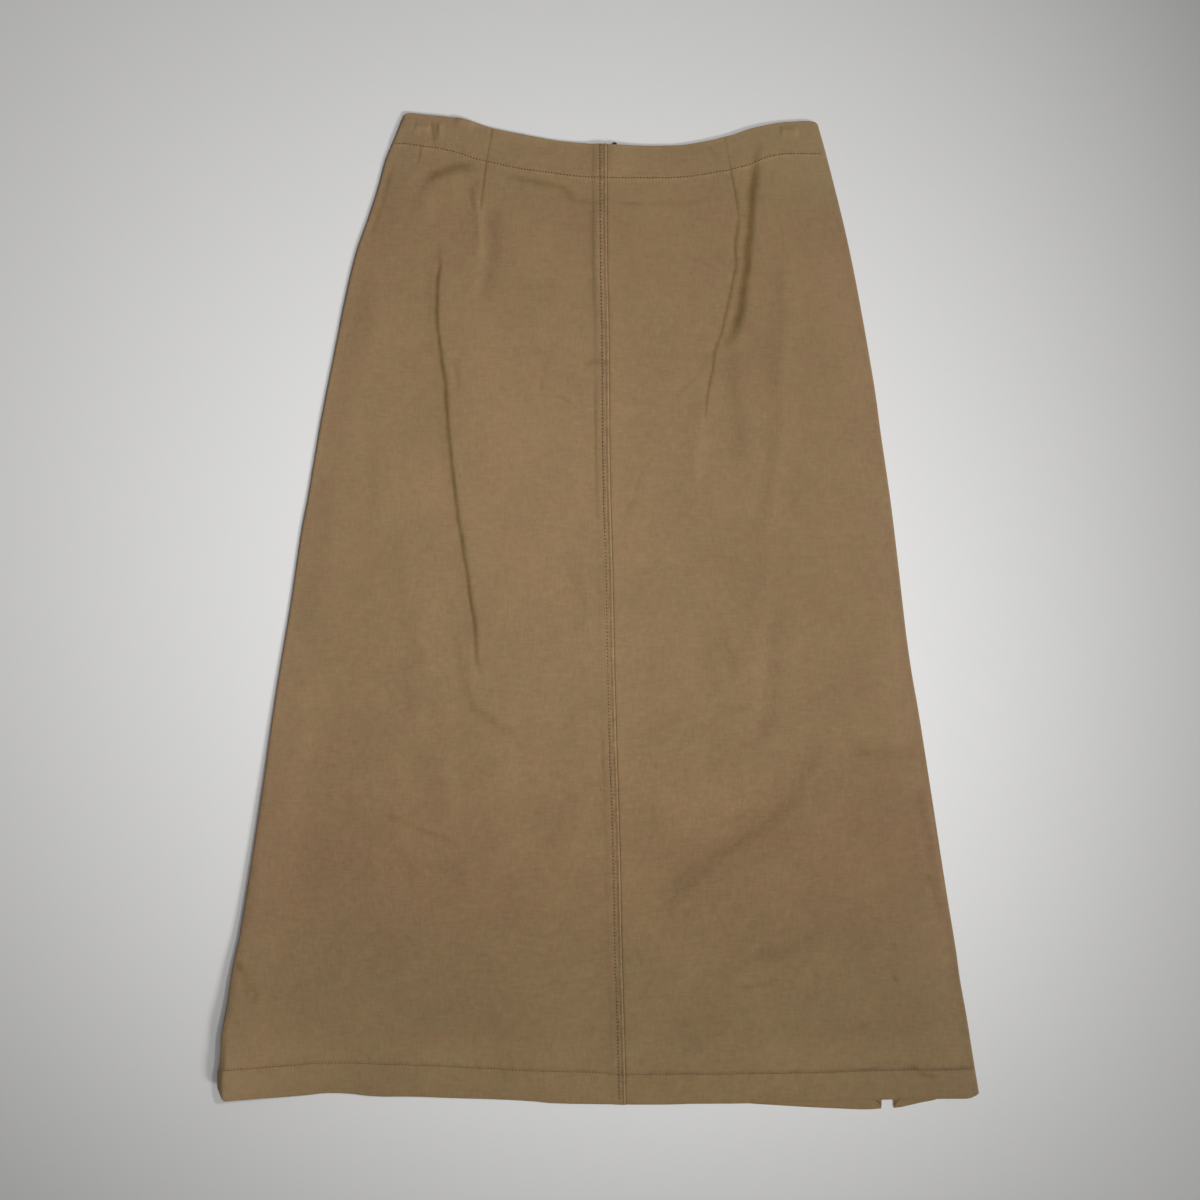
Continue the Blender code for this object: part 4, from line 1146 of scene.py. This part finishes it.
class Nodes:
    """Adds nodes to a tree and joins them."""

    def __init__(self, tree):
        self.tree = tree

    def add(self, kind, inputs=None, **settings):
        """Add a node, set its properties, and set or join its inputs."""
        node = self.tree.nodes.new(kind)
        for key, value in settings.items():
            setattr(node, key, value)
        return self.fill(node, inputs or {})

    def fill(self, node, inputs):
        """Set or join some of a node's inputs."""
        for key, value in inputs.items():
            if isinstance(value, bpy.types.NodeSocket):
                self.tree.links.new(value, node.inputs[key])
            else:
                node.inputs[key].default_value = value
        return node

    def group(self, group, **inputs):
        """Put in a node group, with the values of its named sockets."""
        node = self.add("ShaderNodeGroup", node_tree=group)
        return self.fill(node, {key.replace("_", " "): value for key, value in inputs.items()})

    def object_vector(self):
        """Return the places on the object itself, in metres."""
        return self.add("ShaderNodeTexCoord").outputs["Object"]

    def mapped(self, vector, degrees=0.0, scale=(1.0, 1.0, 1.0)):
        """Return places turned about Z and scaled."""
        inputs = {"Vector": vector, "Rotation": (0.0, 0.0, math.radians(degrees)), "Scale": scale}
        return self.add("ShaderNodeMapping", inputs).outputs["Vector"]

    def bump(self, height, distance, strength, **inputs):
        """Return the normals that a height gives."""
        inputs.update(Height=height, Distance=distance, Strength=strength)
        return self.add("ShaderNodeBump", inputs).outputs["Normal"]

    def math(self, operation, first, second=0.0):
        """Add a math node and return its output."""
        return self.add("ShaderNodeMath", {0: first, 1: second}, operation=operation).outputs[0]

    def ramp(self, value, low, high, to_low=0.0, to_high=1.0):
        """Map a value from one range to another, clamped."""
        inputs = {"Value": value, "From Min": low, "From Max": high, "To Min": to_low, "To Max": to_high}
        return self.add("ShaderNodeMapRange", inputs).outputs["Result"]

    def noise(self, vector, scale, detail=2.0, roughness=0.5, **settings):
        """Add a noise texture and return its value."""
        inputs = {"Vector": vector, "Scale": scale, "Detail": detail, "Roughness": roughness}
        return self.add("ShaderNodeTexNoise", inputs, **settings).outputs["Fac"]

    def tinted(self, colour, factor, redder, yellower):
        """Multiply a colour by a factor, leaned from green towards red and from blue towards yellow."""
        red = self.math("MULTIPLY", factor, self.math("ADD", redder, 1.0))
        green = self.math("MULTIPLY", factor, self.math("SUBTRACT", 1.0, redder))
        blue = self.math("MULTIPLY", factor, self.math("SUBTRACT", 1.0, yellower))
        tint = self.add("ShaderNodeCombineColor", {"Red": red, "Green": green, "Blue": blue}).outputs["Color"]
        inputs = {"Factor": 1.0, 6: colour, 7: tint}
        return self.add("ShaderNodeMix", inputs, data_type="RGBA", blend_type="MULTIPLY").outputs[2]


def new_group(name, inputs, outputs):
    """Make a node group with named sockets; return it with its nodes, its start and its end."""
    group = bpy.data.node_groups.new(name, "ShaderNodeTree")
    for label, kind, default in inputs:
        socket = group.interface.new_socket(name=label, in_out="INPUT", socket_type=f"NodeSocket{kind}")
        if default is not None:
            socket.default_value = default
    for label, kind in outputs:
        group.interface.new_socket(name=label, in_out="OUTPUT", socket_type=f"NodeSocket{kind}")
    nodes = Nodes(group)
    return group, nodes, nodes.add("NodeGroupInput"), nodes.add("NodeGroupOutput")


def twill_weave_group():
    """Return the group for diagonal twill ribs: their height and their shade."""
    name = "Twill weave"
    if name in bpy.data.node_groups:
        return bpy.data.node_groups[name]
    inputs = [("Vector", "Vector", None), ("Rib Scale", "Float", 560.0), ("Slub", "Float", 0.5)]
    group, nodes, start, end = new_group(name, inputs, [("Height", "Float"), ("Shade", "Float")])
    vector = start.outputs["Vector"]
    ribs = nodes.add(
        "ShaderNodeTexWave",
        {"Vector": nodes.mapped(vector, TWILL_LEAN), "Scale": start.outputs["Rib Scale"],
         "Distortion": 1.1, "Detail": 2.0, "Detail Scale": 0.6},
        wave_type="BANDS", bands_direction="X", wave_profile="SIN",
    ).outputs["Fac"]
    warp = nodes.noise(nodes.mapped(vector, scale=(1.0, 0.16, 1.0)), 620.0, 4.0, 0.72)
    weft = nodes.noise(nodes.mapped(vector, scale=(0.18, 1.0, 1.0)), 560.0, 4.0, 0.72)
    yarn = nodes.math("ADD", warp, weft)
    slub = nodes.math("MULTIPLY", nodes.math("SUBTRACT", yarn, 1.0), start.outputs["Slub"])
    shade = nodes.math("ADD", nodes.math("MULTIPLY", ribs, 0.5), nodes.math("MULTIPLY", slub, 1.4))
    nodes.fill(end, {"Height": nodes.math("ADD", ribs, slub), "Shade": nodes.math("SUBTRACT", shade, 0.25)})
    return group


def washed_tone_group():
    """Return the group for the washed look: colour changed by tone, by paler places, by painted shade along
    lines and by broad tone that is partly painted light and shade.
    """
    name = "Washed tone"
    if name in bpy.data.node_groups:
        return bpy.data.node_groups[name]
    inputs = [("Vector", "Vector", None), ("Colour", "Color", (0.3, 0.2, 0.1, 1.0))]
    floats = {"Shade": 0.0, "Grain": 0.3, "Mottle": 0.05, "Mark": 0.0, "Pale": 0.0, "Deep": 0.0,
              "Uneven Dye": 0.0, "Olive": 0.0, "Yellow": 0.0}
    inputs += [(label, "Float", value) for label, value in floats.items()]
    group, nodes, start, end = new_group(name, inputs, [("Colour", "Color"), ("Roughness", "Float")])
    vector = start.outputs["Vector"]

    def uneven(scale, roughness):
        return nodes.math("SUBTRACT", nodes.noise(vector, scale, 3.0, roughness), 0.5)

    def part(label, factor):
        return nodes.math("MULTIPLY", start.outputs[label], factor)

    small = uneven(150.0, 0.6)
    broad = nodes.math("MULTIPLY", uneven(16.0, 0.55), 1.2)
    mottle = part("Mottle", nodes.math("ADD", broad, small))
    tone = nodes.math("ADD", mottle, part("Shade", start.outputs["Grain"]))
    broken = nodes.ramp(nodes.noise(vector, 700.0, 2.0, 0.6), 0.3, 0.7, 0.6, 1.1)
    lightening = nodes.math("MULTIPLY", part("Pale", broken), PALE_GAIN)
    # Painted shade along lines, and broad tone that is partly painted light and shade
    lines = nodes.math("ADD", part("Mark", SHADE_GAIN), part("Deep", DEEP_GAIN))
    factor = nodes.math("ADD", nodes.math("ADD", nodes.math("ADD", tone, 1.0), lightening), lines)
    dye = nodes.math("SUBTRACT", part("Uneven Dye", uneven(62.0, 0.6)), part("Olive", OLIVE_LEAN))
    dye = nodes.math("ADD", dye, part("Mark", SHADE_REDDER))
    yellower = nodes.math("ADD", part("Mark", SHADE_YELLOWER), part("Yellow", YELLOW_LEAN))
    rough = nodes.math("ADD", nodes.math("MULTIPLY", small, 0.12), 0.86)
    colour = nodes.tinted(start.outputs["Colour"], factor, dye, yellower)
    nodes.fill(end, {"Colour": colour, "Roughness": rough})
    return group


def new_material(name):
    """Make a material and return it with its nodes and shader."""
    material = bpy.data.materials.new(name)
    material.use_nodes = True
    nodes = Nodes(material.node_tree)
    return material, nodes, material.node_tree.nodes["Principled BSDF"]


def wrinkle_lines(nodes, vector):
    """Return the height of fine washed-in wrinkles: broken lines, most of them nearly level."""
    field = nodes.noise(nodes.mapped(vector, WRINKLE_LEAN, (0.42, 1.0, 1.0)), 36.0, 3.0, 0.5)
    away = nodes.math("ABSOLUTE", nodes.math("SUBTRACT", field, 0.5))
    lines = nodes.ramp(away, 0.0, 0.035, 1.0, 0.0)
    patches = nodes.ramp(nodes.noise(vector, 22.0, 2.0, 0.5), 0.45, 0.62)
    return nodes.math("MULTIPLY", lines, patches)


def twill_material():
    """Return the skirt's tan twill, made once."""
    name = "tan_twill_cloth"
    if name in bpy.data.materials:
        return bpy.data.materials[name]
    settings = bpy.context.scene.skirt_cloth
    material, nodes, shader = new_material(name)
    vector = nodes.object_vector()
    mark, pale, rumpled, deep, worked, olive, yellow = (
        nodes.add("ShaderNodeAttribute", attribute_name=label).outputs["Fac"]
        for label in ("mark", "pale", "rumpled", "deep", "worked", "olive", "yellow")
    )
    weave = nodes.group(twill_weave_group(), Vector=vector, Rib_Scale=RIBS_IN_PITCH / settings.rib_pitch,
                        Slub=0.55)
    tone = nodes.group(washed_tone_group(), Vector=vector, Colour=(*settings.colour, 1.0),
                       Shade=weave.outputs["Shade"], Grain=nodes.ramp(worked, 0.0, 1.0, 0.5, 1.1),
                       Mottle=0.2, Mark=mark, Pale=pale, Deep=deep, Olive=olive, Yellow=yellow,
                       Uneven_Dye=0.09)
    layers = (
        (nodes.noise(vector, 75.0, 4.0, 0.55), nodes.ramp(rumpled, 0.0, 1.0, 0.45, 1.0)),
        (nodes.noise(vector, 260.0, 3.0, 0.6), nodes.ramp(worked, 0.0, 1.0, 0.5, 1.2)),
        (wrinkle_lines(nodes, vector), nodes.ramp(rumpled, 0.0, 1.0, 0.03, 0.3)),
    )
    crumple, fine, wrinkles = (nodes.math("MULTIPLY", *layer) for layer in layers)
    crumpled = nodes.math("ADD", nodes.math("ADD", crumple, fine), wrinkles)
    soft = nodes.bump(crumpled, 0.0009, 0.6)
    nodes.fill(shader, {
        "Base Color": tone.outputs["Colour"],
        "Roughness": tone.outputs["Roughness"],
        "Normal": nodes.bump(weave.outputs["Height"], 0.00008, 0.7, Normal=soft),
        "Specular IOR Level": 0.25, "Sheen Weight": 0.06, "Sheen Roughness": 0.5,
    })
    return material


def thread_material(settings):
    """Return the topstitching thread, made once."""
    name = "tan_thread"
    if name in bpy.data.materials:
        return bpy.data.materials[name]
    material, nodes, shader = new_material(name)
    vector = nodes.object_vector()
    twist = nodes.noise(vector, 2600.0, 2.0, 0.6)
    tone = nodes.group(washed_tone_group(), Vector=vector, Colour=(*settings.colour, 1.0),
                       Shade=nodes.math("SUBTRACT", twist, 0.5), Grain=0.5, Mottle=0.06)
    nodes.fill(shader, {"Base Color": tone.outputs["Colour"], "Normal": nodes.bump(twist, 0.00006, 0.6),
                        "Roughness": 0.6})
    return material


def plain_material(name, colour, mottle, roughness, shine):
    """Return a matt material of a slightly uneven colour, made once."""
    if name in bpy.data.materials:
        return bpy.data.materials[name]
    material, nodes, shader = new_material(name)
    vector = nodes.object_vector()
    tone = nodes.group(washed_tone_group(), Vector=vector, Colour=colour, Mottle=mottle)
    nodes.fill(shader, {"Base Color": tone.outputs["Colour"], "Roughness": roughness,
                        "Specular IOR Level": shine})
    return material


def zip_tape_material():
    """Return the woven zip tape with its closed coil."""
    material, nodes, shader = new_material("woven_zip_tape")
    vector = nodes.object_vector()
    weave = nodes.group(twill_weave_group(), Vector=vector, Rib_Scale=TAPE_RIBS, Slub=0.3)
    tone = nodes.group(washed_tone_group(), Vector=vector, Colour=TAPE_COLOUR,
                       Shade=weave.outputs["Shade"], Grain=0.4, Mottle=0.05)
    nodes.fill(shader, {"Base Color": tone.outputs["Colour"], "Roughness": tone.outputs["Roughness"],
                        "Normal": nodes.bump(weave.outputs["Height"], 0.0001, 0.8)})
    return material


def hook_material():
    """Return the hook's dark enamel, rubbed along its edges."""
    material, nodes, shader = new_material("dark_enamel")
    vector = nodes.object_vector()
    tone = nodes.group(washed_tone_group(), Vector=vector, Colour=HOOK_COLOUR, Mottle=0.6)
    scratches = nodes.noise(vector, 900.0, 3.0, 0.7)
    nodes.fill(shader, {"Base Color": tone.outputs["Colour"], "Metallic": 0.9,
                        "Roughness": nodes.ramp(scratches, 0.2, 0.8, 0.35, 0.6),
                        "Normal": nodes.bump(scratches, 0.00005, 0.4)})
    return material


# ---------------------------------------------------------------- settings


def number(name, description, default, low, high, unit="LENGTH"):
    """Return a setting for a number, by default a length in metres."""
    return bpy.props.FloatProperty(
        name=name, description=description, default=default, min=low, max=high, unit=unit)


def colour(name, description, default):
    """Return a setting for a colour."""
    return bpy.props.FloatVectorProperty(
        name=name, description=description, default=default, size=3, min=0.0, max=1.0, subtype="COLOR")


class SkirtClothSettings(bpy.types.PropertyGroup):
    """Sizes and colour of the cloth."""
    wall: number("Cloth thickness", "Thickness of one layer of twill with its loft", 0.0011, 0.0004, 0.002)
    rib_pitch: number("Rib pitch", "Distance between two ribs of the twill", 0.00058, 0.0003, 0.002)
    colour: colour("Cloth colour", "Colour of the dyed twill", (0.2485, 0.1587, 0.0789))


class SkirtThreadSettings(bpy.types.PropertyGroup):
    """Sizes and colour of the topstitching."""
    thickness: number("Thread thickness", "Diameter of the topstitching thread", 0.00034, 0.0001, 0.001)
    centre_pitch: number("Centre stitch", "Length of a stitch beside the centre seam", 0.00303, 0.001, 0.006)
    band_pitch: number("Band stitch", "Length of a stitch at the facing and hem", 0.0027, 0.001, 0.006)
    colour: colour("Thread colour", "Colour of the thread", (0.262, 0.171, 0.091))


class SkirtStageSettings(bpy.types.PropertyGroup):
    """Floor, lights and camera."""
    floor_colour: colour("Floor colour", "Colour of the pale surface", (0.71, 0.705, 0.693))
    view_width: number("View width", "Width of the view at the cloth", 1.056, 0.5, 3.0)
    view_height: number("Camera height", "Height of the camera over the cloth", 1.14, 0.5, 4.0)
    key_power: number("Key light", "Power of the light from the lower right", 489.6, 0.0, 2000.0, "POWER")
    right_power: number("Right light", "Power of the light over the right side", 48.1, 0.0, 2000.0, "POWER")
    left_power: number("Left light", "Power of the wide light over the left side", 14.2, 0.0, 2000.0, "POWER")
    room_light: number("Room light", "Strength of the light from all round", 0.097, 0.0, 3.0, "NONE")


# ---------------------------------------------------------------- operators


# How many evenly spread lines of points lie between the denser groups of each panel
LEFT_BETWEEN = (50, 8, 24)
RIGHT_BETWEEN = (28, 5, 52)
BACK_LEFT_BETWEEN = 48
BACK_RIGHT_BETWEEN = 36
BACK_SIDE_BETWEEN = 20
ROLL_START = 5          # first of the fold's lines that the right panel uses

# Soft lights: place, the spot that each faces, radius, and spread in degrees
LIGHTS = {
    "key": ((2.05, -1.65, 1.9), (0.016, -0.043, 0.0), 0.5, 24.1),
    "right": ((0.72, 0.35, 1.5), (-0.323, 0.35, 0.0), 0.09, 79.9),
    "left": ((0.0, -0.192, 1.25), (-0.236, -0.192, 0.0), 0.3, 81.6),
}
SENSOR_WIDTH = 36.0
CAMERA_PLACE = (0.0012, 0.0095)
CLOTH_TOP = 0.004       # height that the camera's height and the view's width count from
FLOOR_RADIUS = 6.0
FLOOR_SIDES = 64
FLOOR_DROP = 0.0001


def wear_by_frame(piece, *nodes, slot="twill"):
    """Fix a piece to the skirt, in place of the solids that it stands for."""
    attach(piece, "root")
    if nodes:
        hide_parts(*nodes)


def beside(line, offsets):
    """Return the lines to the right of a line, by some offsets."""
    return [shifted(line, offset) for offset in offsets]


def before(line, offsets):
    """Return the lines to the left of a line, by some offsets."""
    return [shifted(line, -offset) for offset in reversed(offsets)]


def filled(groups, counts):
    """Return groups of lines as one row of columns, with evenly spread lines between them."""
    columns = list(groups[0])
    for group, count in zip(groups[1:], counts):
        columns += spread(columns[-1], group[0], count) + group
    return columns


class SKIRT_OT_front(bpy.types.Operator):
    """Make the two front panels, which meet at the lapped centre seam."""
    bl_idname = "skirt.front"
    bl_label = "Front panels"

    def execute(self, context):
        groups = [beside(left_side, SIDE_COLUMNS), beside(left_fold_foot, FOOT_COLUMNS),
                  beside(left_dart, DART_COLUMNS), beside(centre_front, LAP_COLUMNS)]
        front_panel("front_left", filled(groups, LEFT_BETWEEN), True)
        groups = [beside(centre_front, UNDERLAP_COLUMNS), beside(right_dart, DART_COLUMNS),
                  beside(right_fold, FOOT_COLUMNS)[ROLL_START:], before(right_side, SIDE_COLUMNS)]
        front_panel("front_right", filled(groups, RIGHT_BETWEEN), False)
        return {"FINISHED"}


class SKIRT_OT_back(bpy.types.Operator):
    """Make the three back panels, with the zip's seam, the slit's seam and the slit."""
    bl_idname = "skirt.back"
    bl_label = "Back panels"

    def execute(self, context):
        zip_left = shifted(centre_back, -SOLID_GAP)
        groups = [beside(left_side, SIDE_COLUMNS), before(zip_left, BACK_SEAM_COLUMNS)]
        back_panel("back_left", filled(groups, [BACK_LEFT_BETWEEN]), [zip_left])
        groups = [beside(centre_back, BACK_SEAM_COLUMNS), before(slit_left, SLIT_COLUMNS)]
        back_panel("back_right", filled(groups, [BACK_RIGHT_BETWEEN]), [centre_back, slit_left])
        groups = [beside(slit_seam, SLIT_COLUMNS), before(right_side, SIDE_COLUMNS)]
        back_panel("back_side", filled(groups, [BACK_SIDE_BETWEEN]), [slit_seam])
        return {"FINISHED"}


def across_row(line, pitch, stitches, back=False):
    """Return a row of topstitching that runs across the skirt's front or back."""
    start, end, hole = stitches
    surface, outward = (back_outside, -1.0) if back else (front_top, 1.0)
    return Row(across_line(start, end, line), pitch, surface, hole, outward)


class SKIRT_OT_stitching(bpy.types.Operator):
    """Make the topstitching of the facing, the hem and the centre seam."""
    bl_idname = "skirt.stitching"
    bl_label = "Topstitching"

    def execute(self, context):
        settings = context.scene.skirt_thread
        band = settings.band_pitch / MILLIMETRE
        rows = [across_row(facing_row, band, FACING_STITCHES),
                across_row(back_facing_row, band, BACK_FACING_STITCHES, back=True)]
        add_stitching("waist_stitching", rows, settings, WAIST_SEED)
        rows = [across_row(hem_row, band, HEM_STITCHES)]
        rows += [across_row(back_hem_row, band, stitches, back=True) for stitches in BACK_HEM_STITCHES]
        add_stitching("hem_stitching", rows, settings, HEM_SEED)
        rows = [
            Row(down_line(shifted(centre_front, -offset), high, low),
                settings.centre_pitch / MILLIMETRE, front_top, hole)
            for offset, (high, low, hole) in CENTRE_STITCHES.items()
        ]
        add_stitching("centre_stitching", rows, settings, CENTRE_SEED)
        return {"FINISHED"}


class SKIRT_OT_fastening(bpy.types.Operator):
    """Finish the zip tape and the hook that the frame carries."""
    bl_idname = "skirt.fastening"
    bl_label = "Zip and hook"

    def execute(self, context):
        for node, material in (("back_zip", zip_tape_material()), ("waist_hook", hook_material())):
            mesh = frame["nodes"][node].data
            mesh.materials.clear()
            mesh.materials.append(material)
        return {"FINISHED"}


class SKIRT_OT_stage(bpy.types.Operator):
    """Make the floor, the lights, the room light and the camera."""
    bl_idname = "skirt.stage"
    bl_label = "Stage"

    def execute(self, context):
        scene = context.scene
        settings = scene.skirt_stage
        add_floor(settings.floor_colour)
        for name, light in LIGHTS.items():
            add_soft_light(f"{name}_light", *light, getattr(settings, f"{name}_power"))
        world = bpy.data.worlds.new("soft_room")
        world.use_nodes = True
        background = world.node_tree.nodes["Background"]
        background.inputs["Color"].default_value = (1.0, 1.0, 1.0, 1.0)
        background.inputs["Strength"].default_value = settings.room_light
        scene.world = world
        scene.view_settings.view_transform = "Standard"
        lens = bpy.data.cameras.new("overhead_camera")
        lens.sensor_fit = "HORIZONTAL"
        lens.sensor_width = SENSOR_WIDTH
        lens.lens = SENSOR_WIDTH * settings.view_height / settings.view_width
        camera = bpy.data.objects.new("overhead_camera", lens)
        camera.location = (*CAMERA_PLACE, settings.view_height + CLOTH_TOP)
        scene.collection.objects.link(camera)
        scene.camera = camera
        return {"FINISHED"}


def add_floor(colour):
    """Add the pale floor as a wide disc."""
    turns = np.arange(FLOOR_SIDES) * 2 * math.pi / FLOOR_SIDES
    rim = [(FLOOR_RADIUS * math.cos(turn), FLOOR_RADIUS * math.sin(turn), 0.0) for turn in turns]
    mesh = bpy.data.meshes.new("floor")
    mesh.from_pydata(rim, [], [tuple(range(FLOOR_SIDES))])
    floor = add_piece(mesh, plain_material("pale_floor", (*colour, 1.0), 0.012, 0.75, 0.3))
    floor.location.z = -FLOOR_DROP


def add_soft_light(name, place, target, radius, spread, power):
    """Add a round soft light that faces a target and falls off towards the edge of its cone."""
    light = bpy.data.lights.new(name, "SPOT")
    light.shadow_soft_size = radius
    light.spot_size = math.radians(spread)
    light.spot_blend = 1.0
    light.energy = power
    lamp = bpy.data.objects.new(name, light)
    lamp.location = place
    lamp.rotation_euler = (Vector(target) - Vector(place)).to_track_quat("-Z", "Y").to_euler()
    bpy.context.scene.collection.objects.link(lamp)


class SKIRT_PT_builder(bpy.types.Panel):
    """Lists the settings and the operators, in their order."""
    bl_idname = "SKIRT_PT_builder"
    bl_label = "Laid twill skirt"
    bl_space_type = "VIEW_3D"
    bl_region_type = "UI"
    bl_category = "Skirt"

    def draw(self, context):
        """Draw the panel."""
        for group in (context.scene.skirt_cloth, context.scene.skirt_thread, context.scene.skirt_stage):
            box = self.layout.box()
            for key in group.__annotations__:
                box.prop(group, key)
        for operator in OPERATORS:
            self.layout.operator(operator.bl_idname)


OPERATORS = (SKIRT_OT_front, SKIRT_OT_back, SKIRT_OT_stitching, SKIRT_OT_fastening, SKIRT_OT_stage)
SETTINGS = {
    "skirt_cloth": SkirtClothSettings,
    "skirt_thread": SkirtThreadSettings,
    "skirt_stage": SkirtStageSettings,
}


def register():
    """Register the classes and attach the settings to the scene."""
    for item in (*SETTINGS.values(), *OPERATORS, SKIRT_PT_builder):
        bpy.utils.register_class(item)
    for key, settings in SETTINGS.items():
        setattr(bpy.types.Scene, key, bpy.props.PointerProperty(type=settings))


def unregister():
    """Detach the settings and unregister the classes."""
    for key in SETTINGS:
        delattr(bpy.types.Scene, key)
    for item in (SKIRT_PT_builder, *reversed(OPERATORS), *SETTINGS.values()):
        bpy.utils.unregister_class(item)


def main():
    """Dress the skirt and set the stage."""
    register()
    bpy.ops.skirt.front()
    bpy.ops.skirt.back()
    bpy.ops.skirt.stitching()
    bpy.ops.skirt.fastening()
    bpy.ops.skirt.stage()


if __name__ == "__main__":
    main()
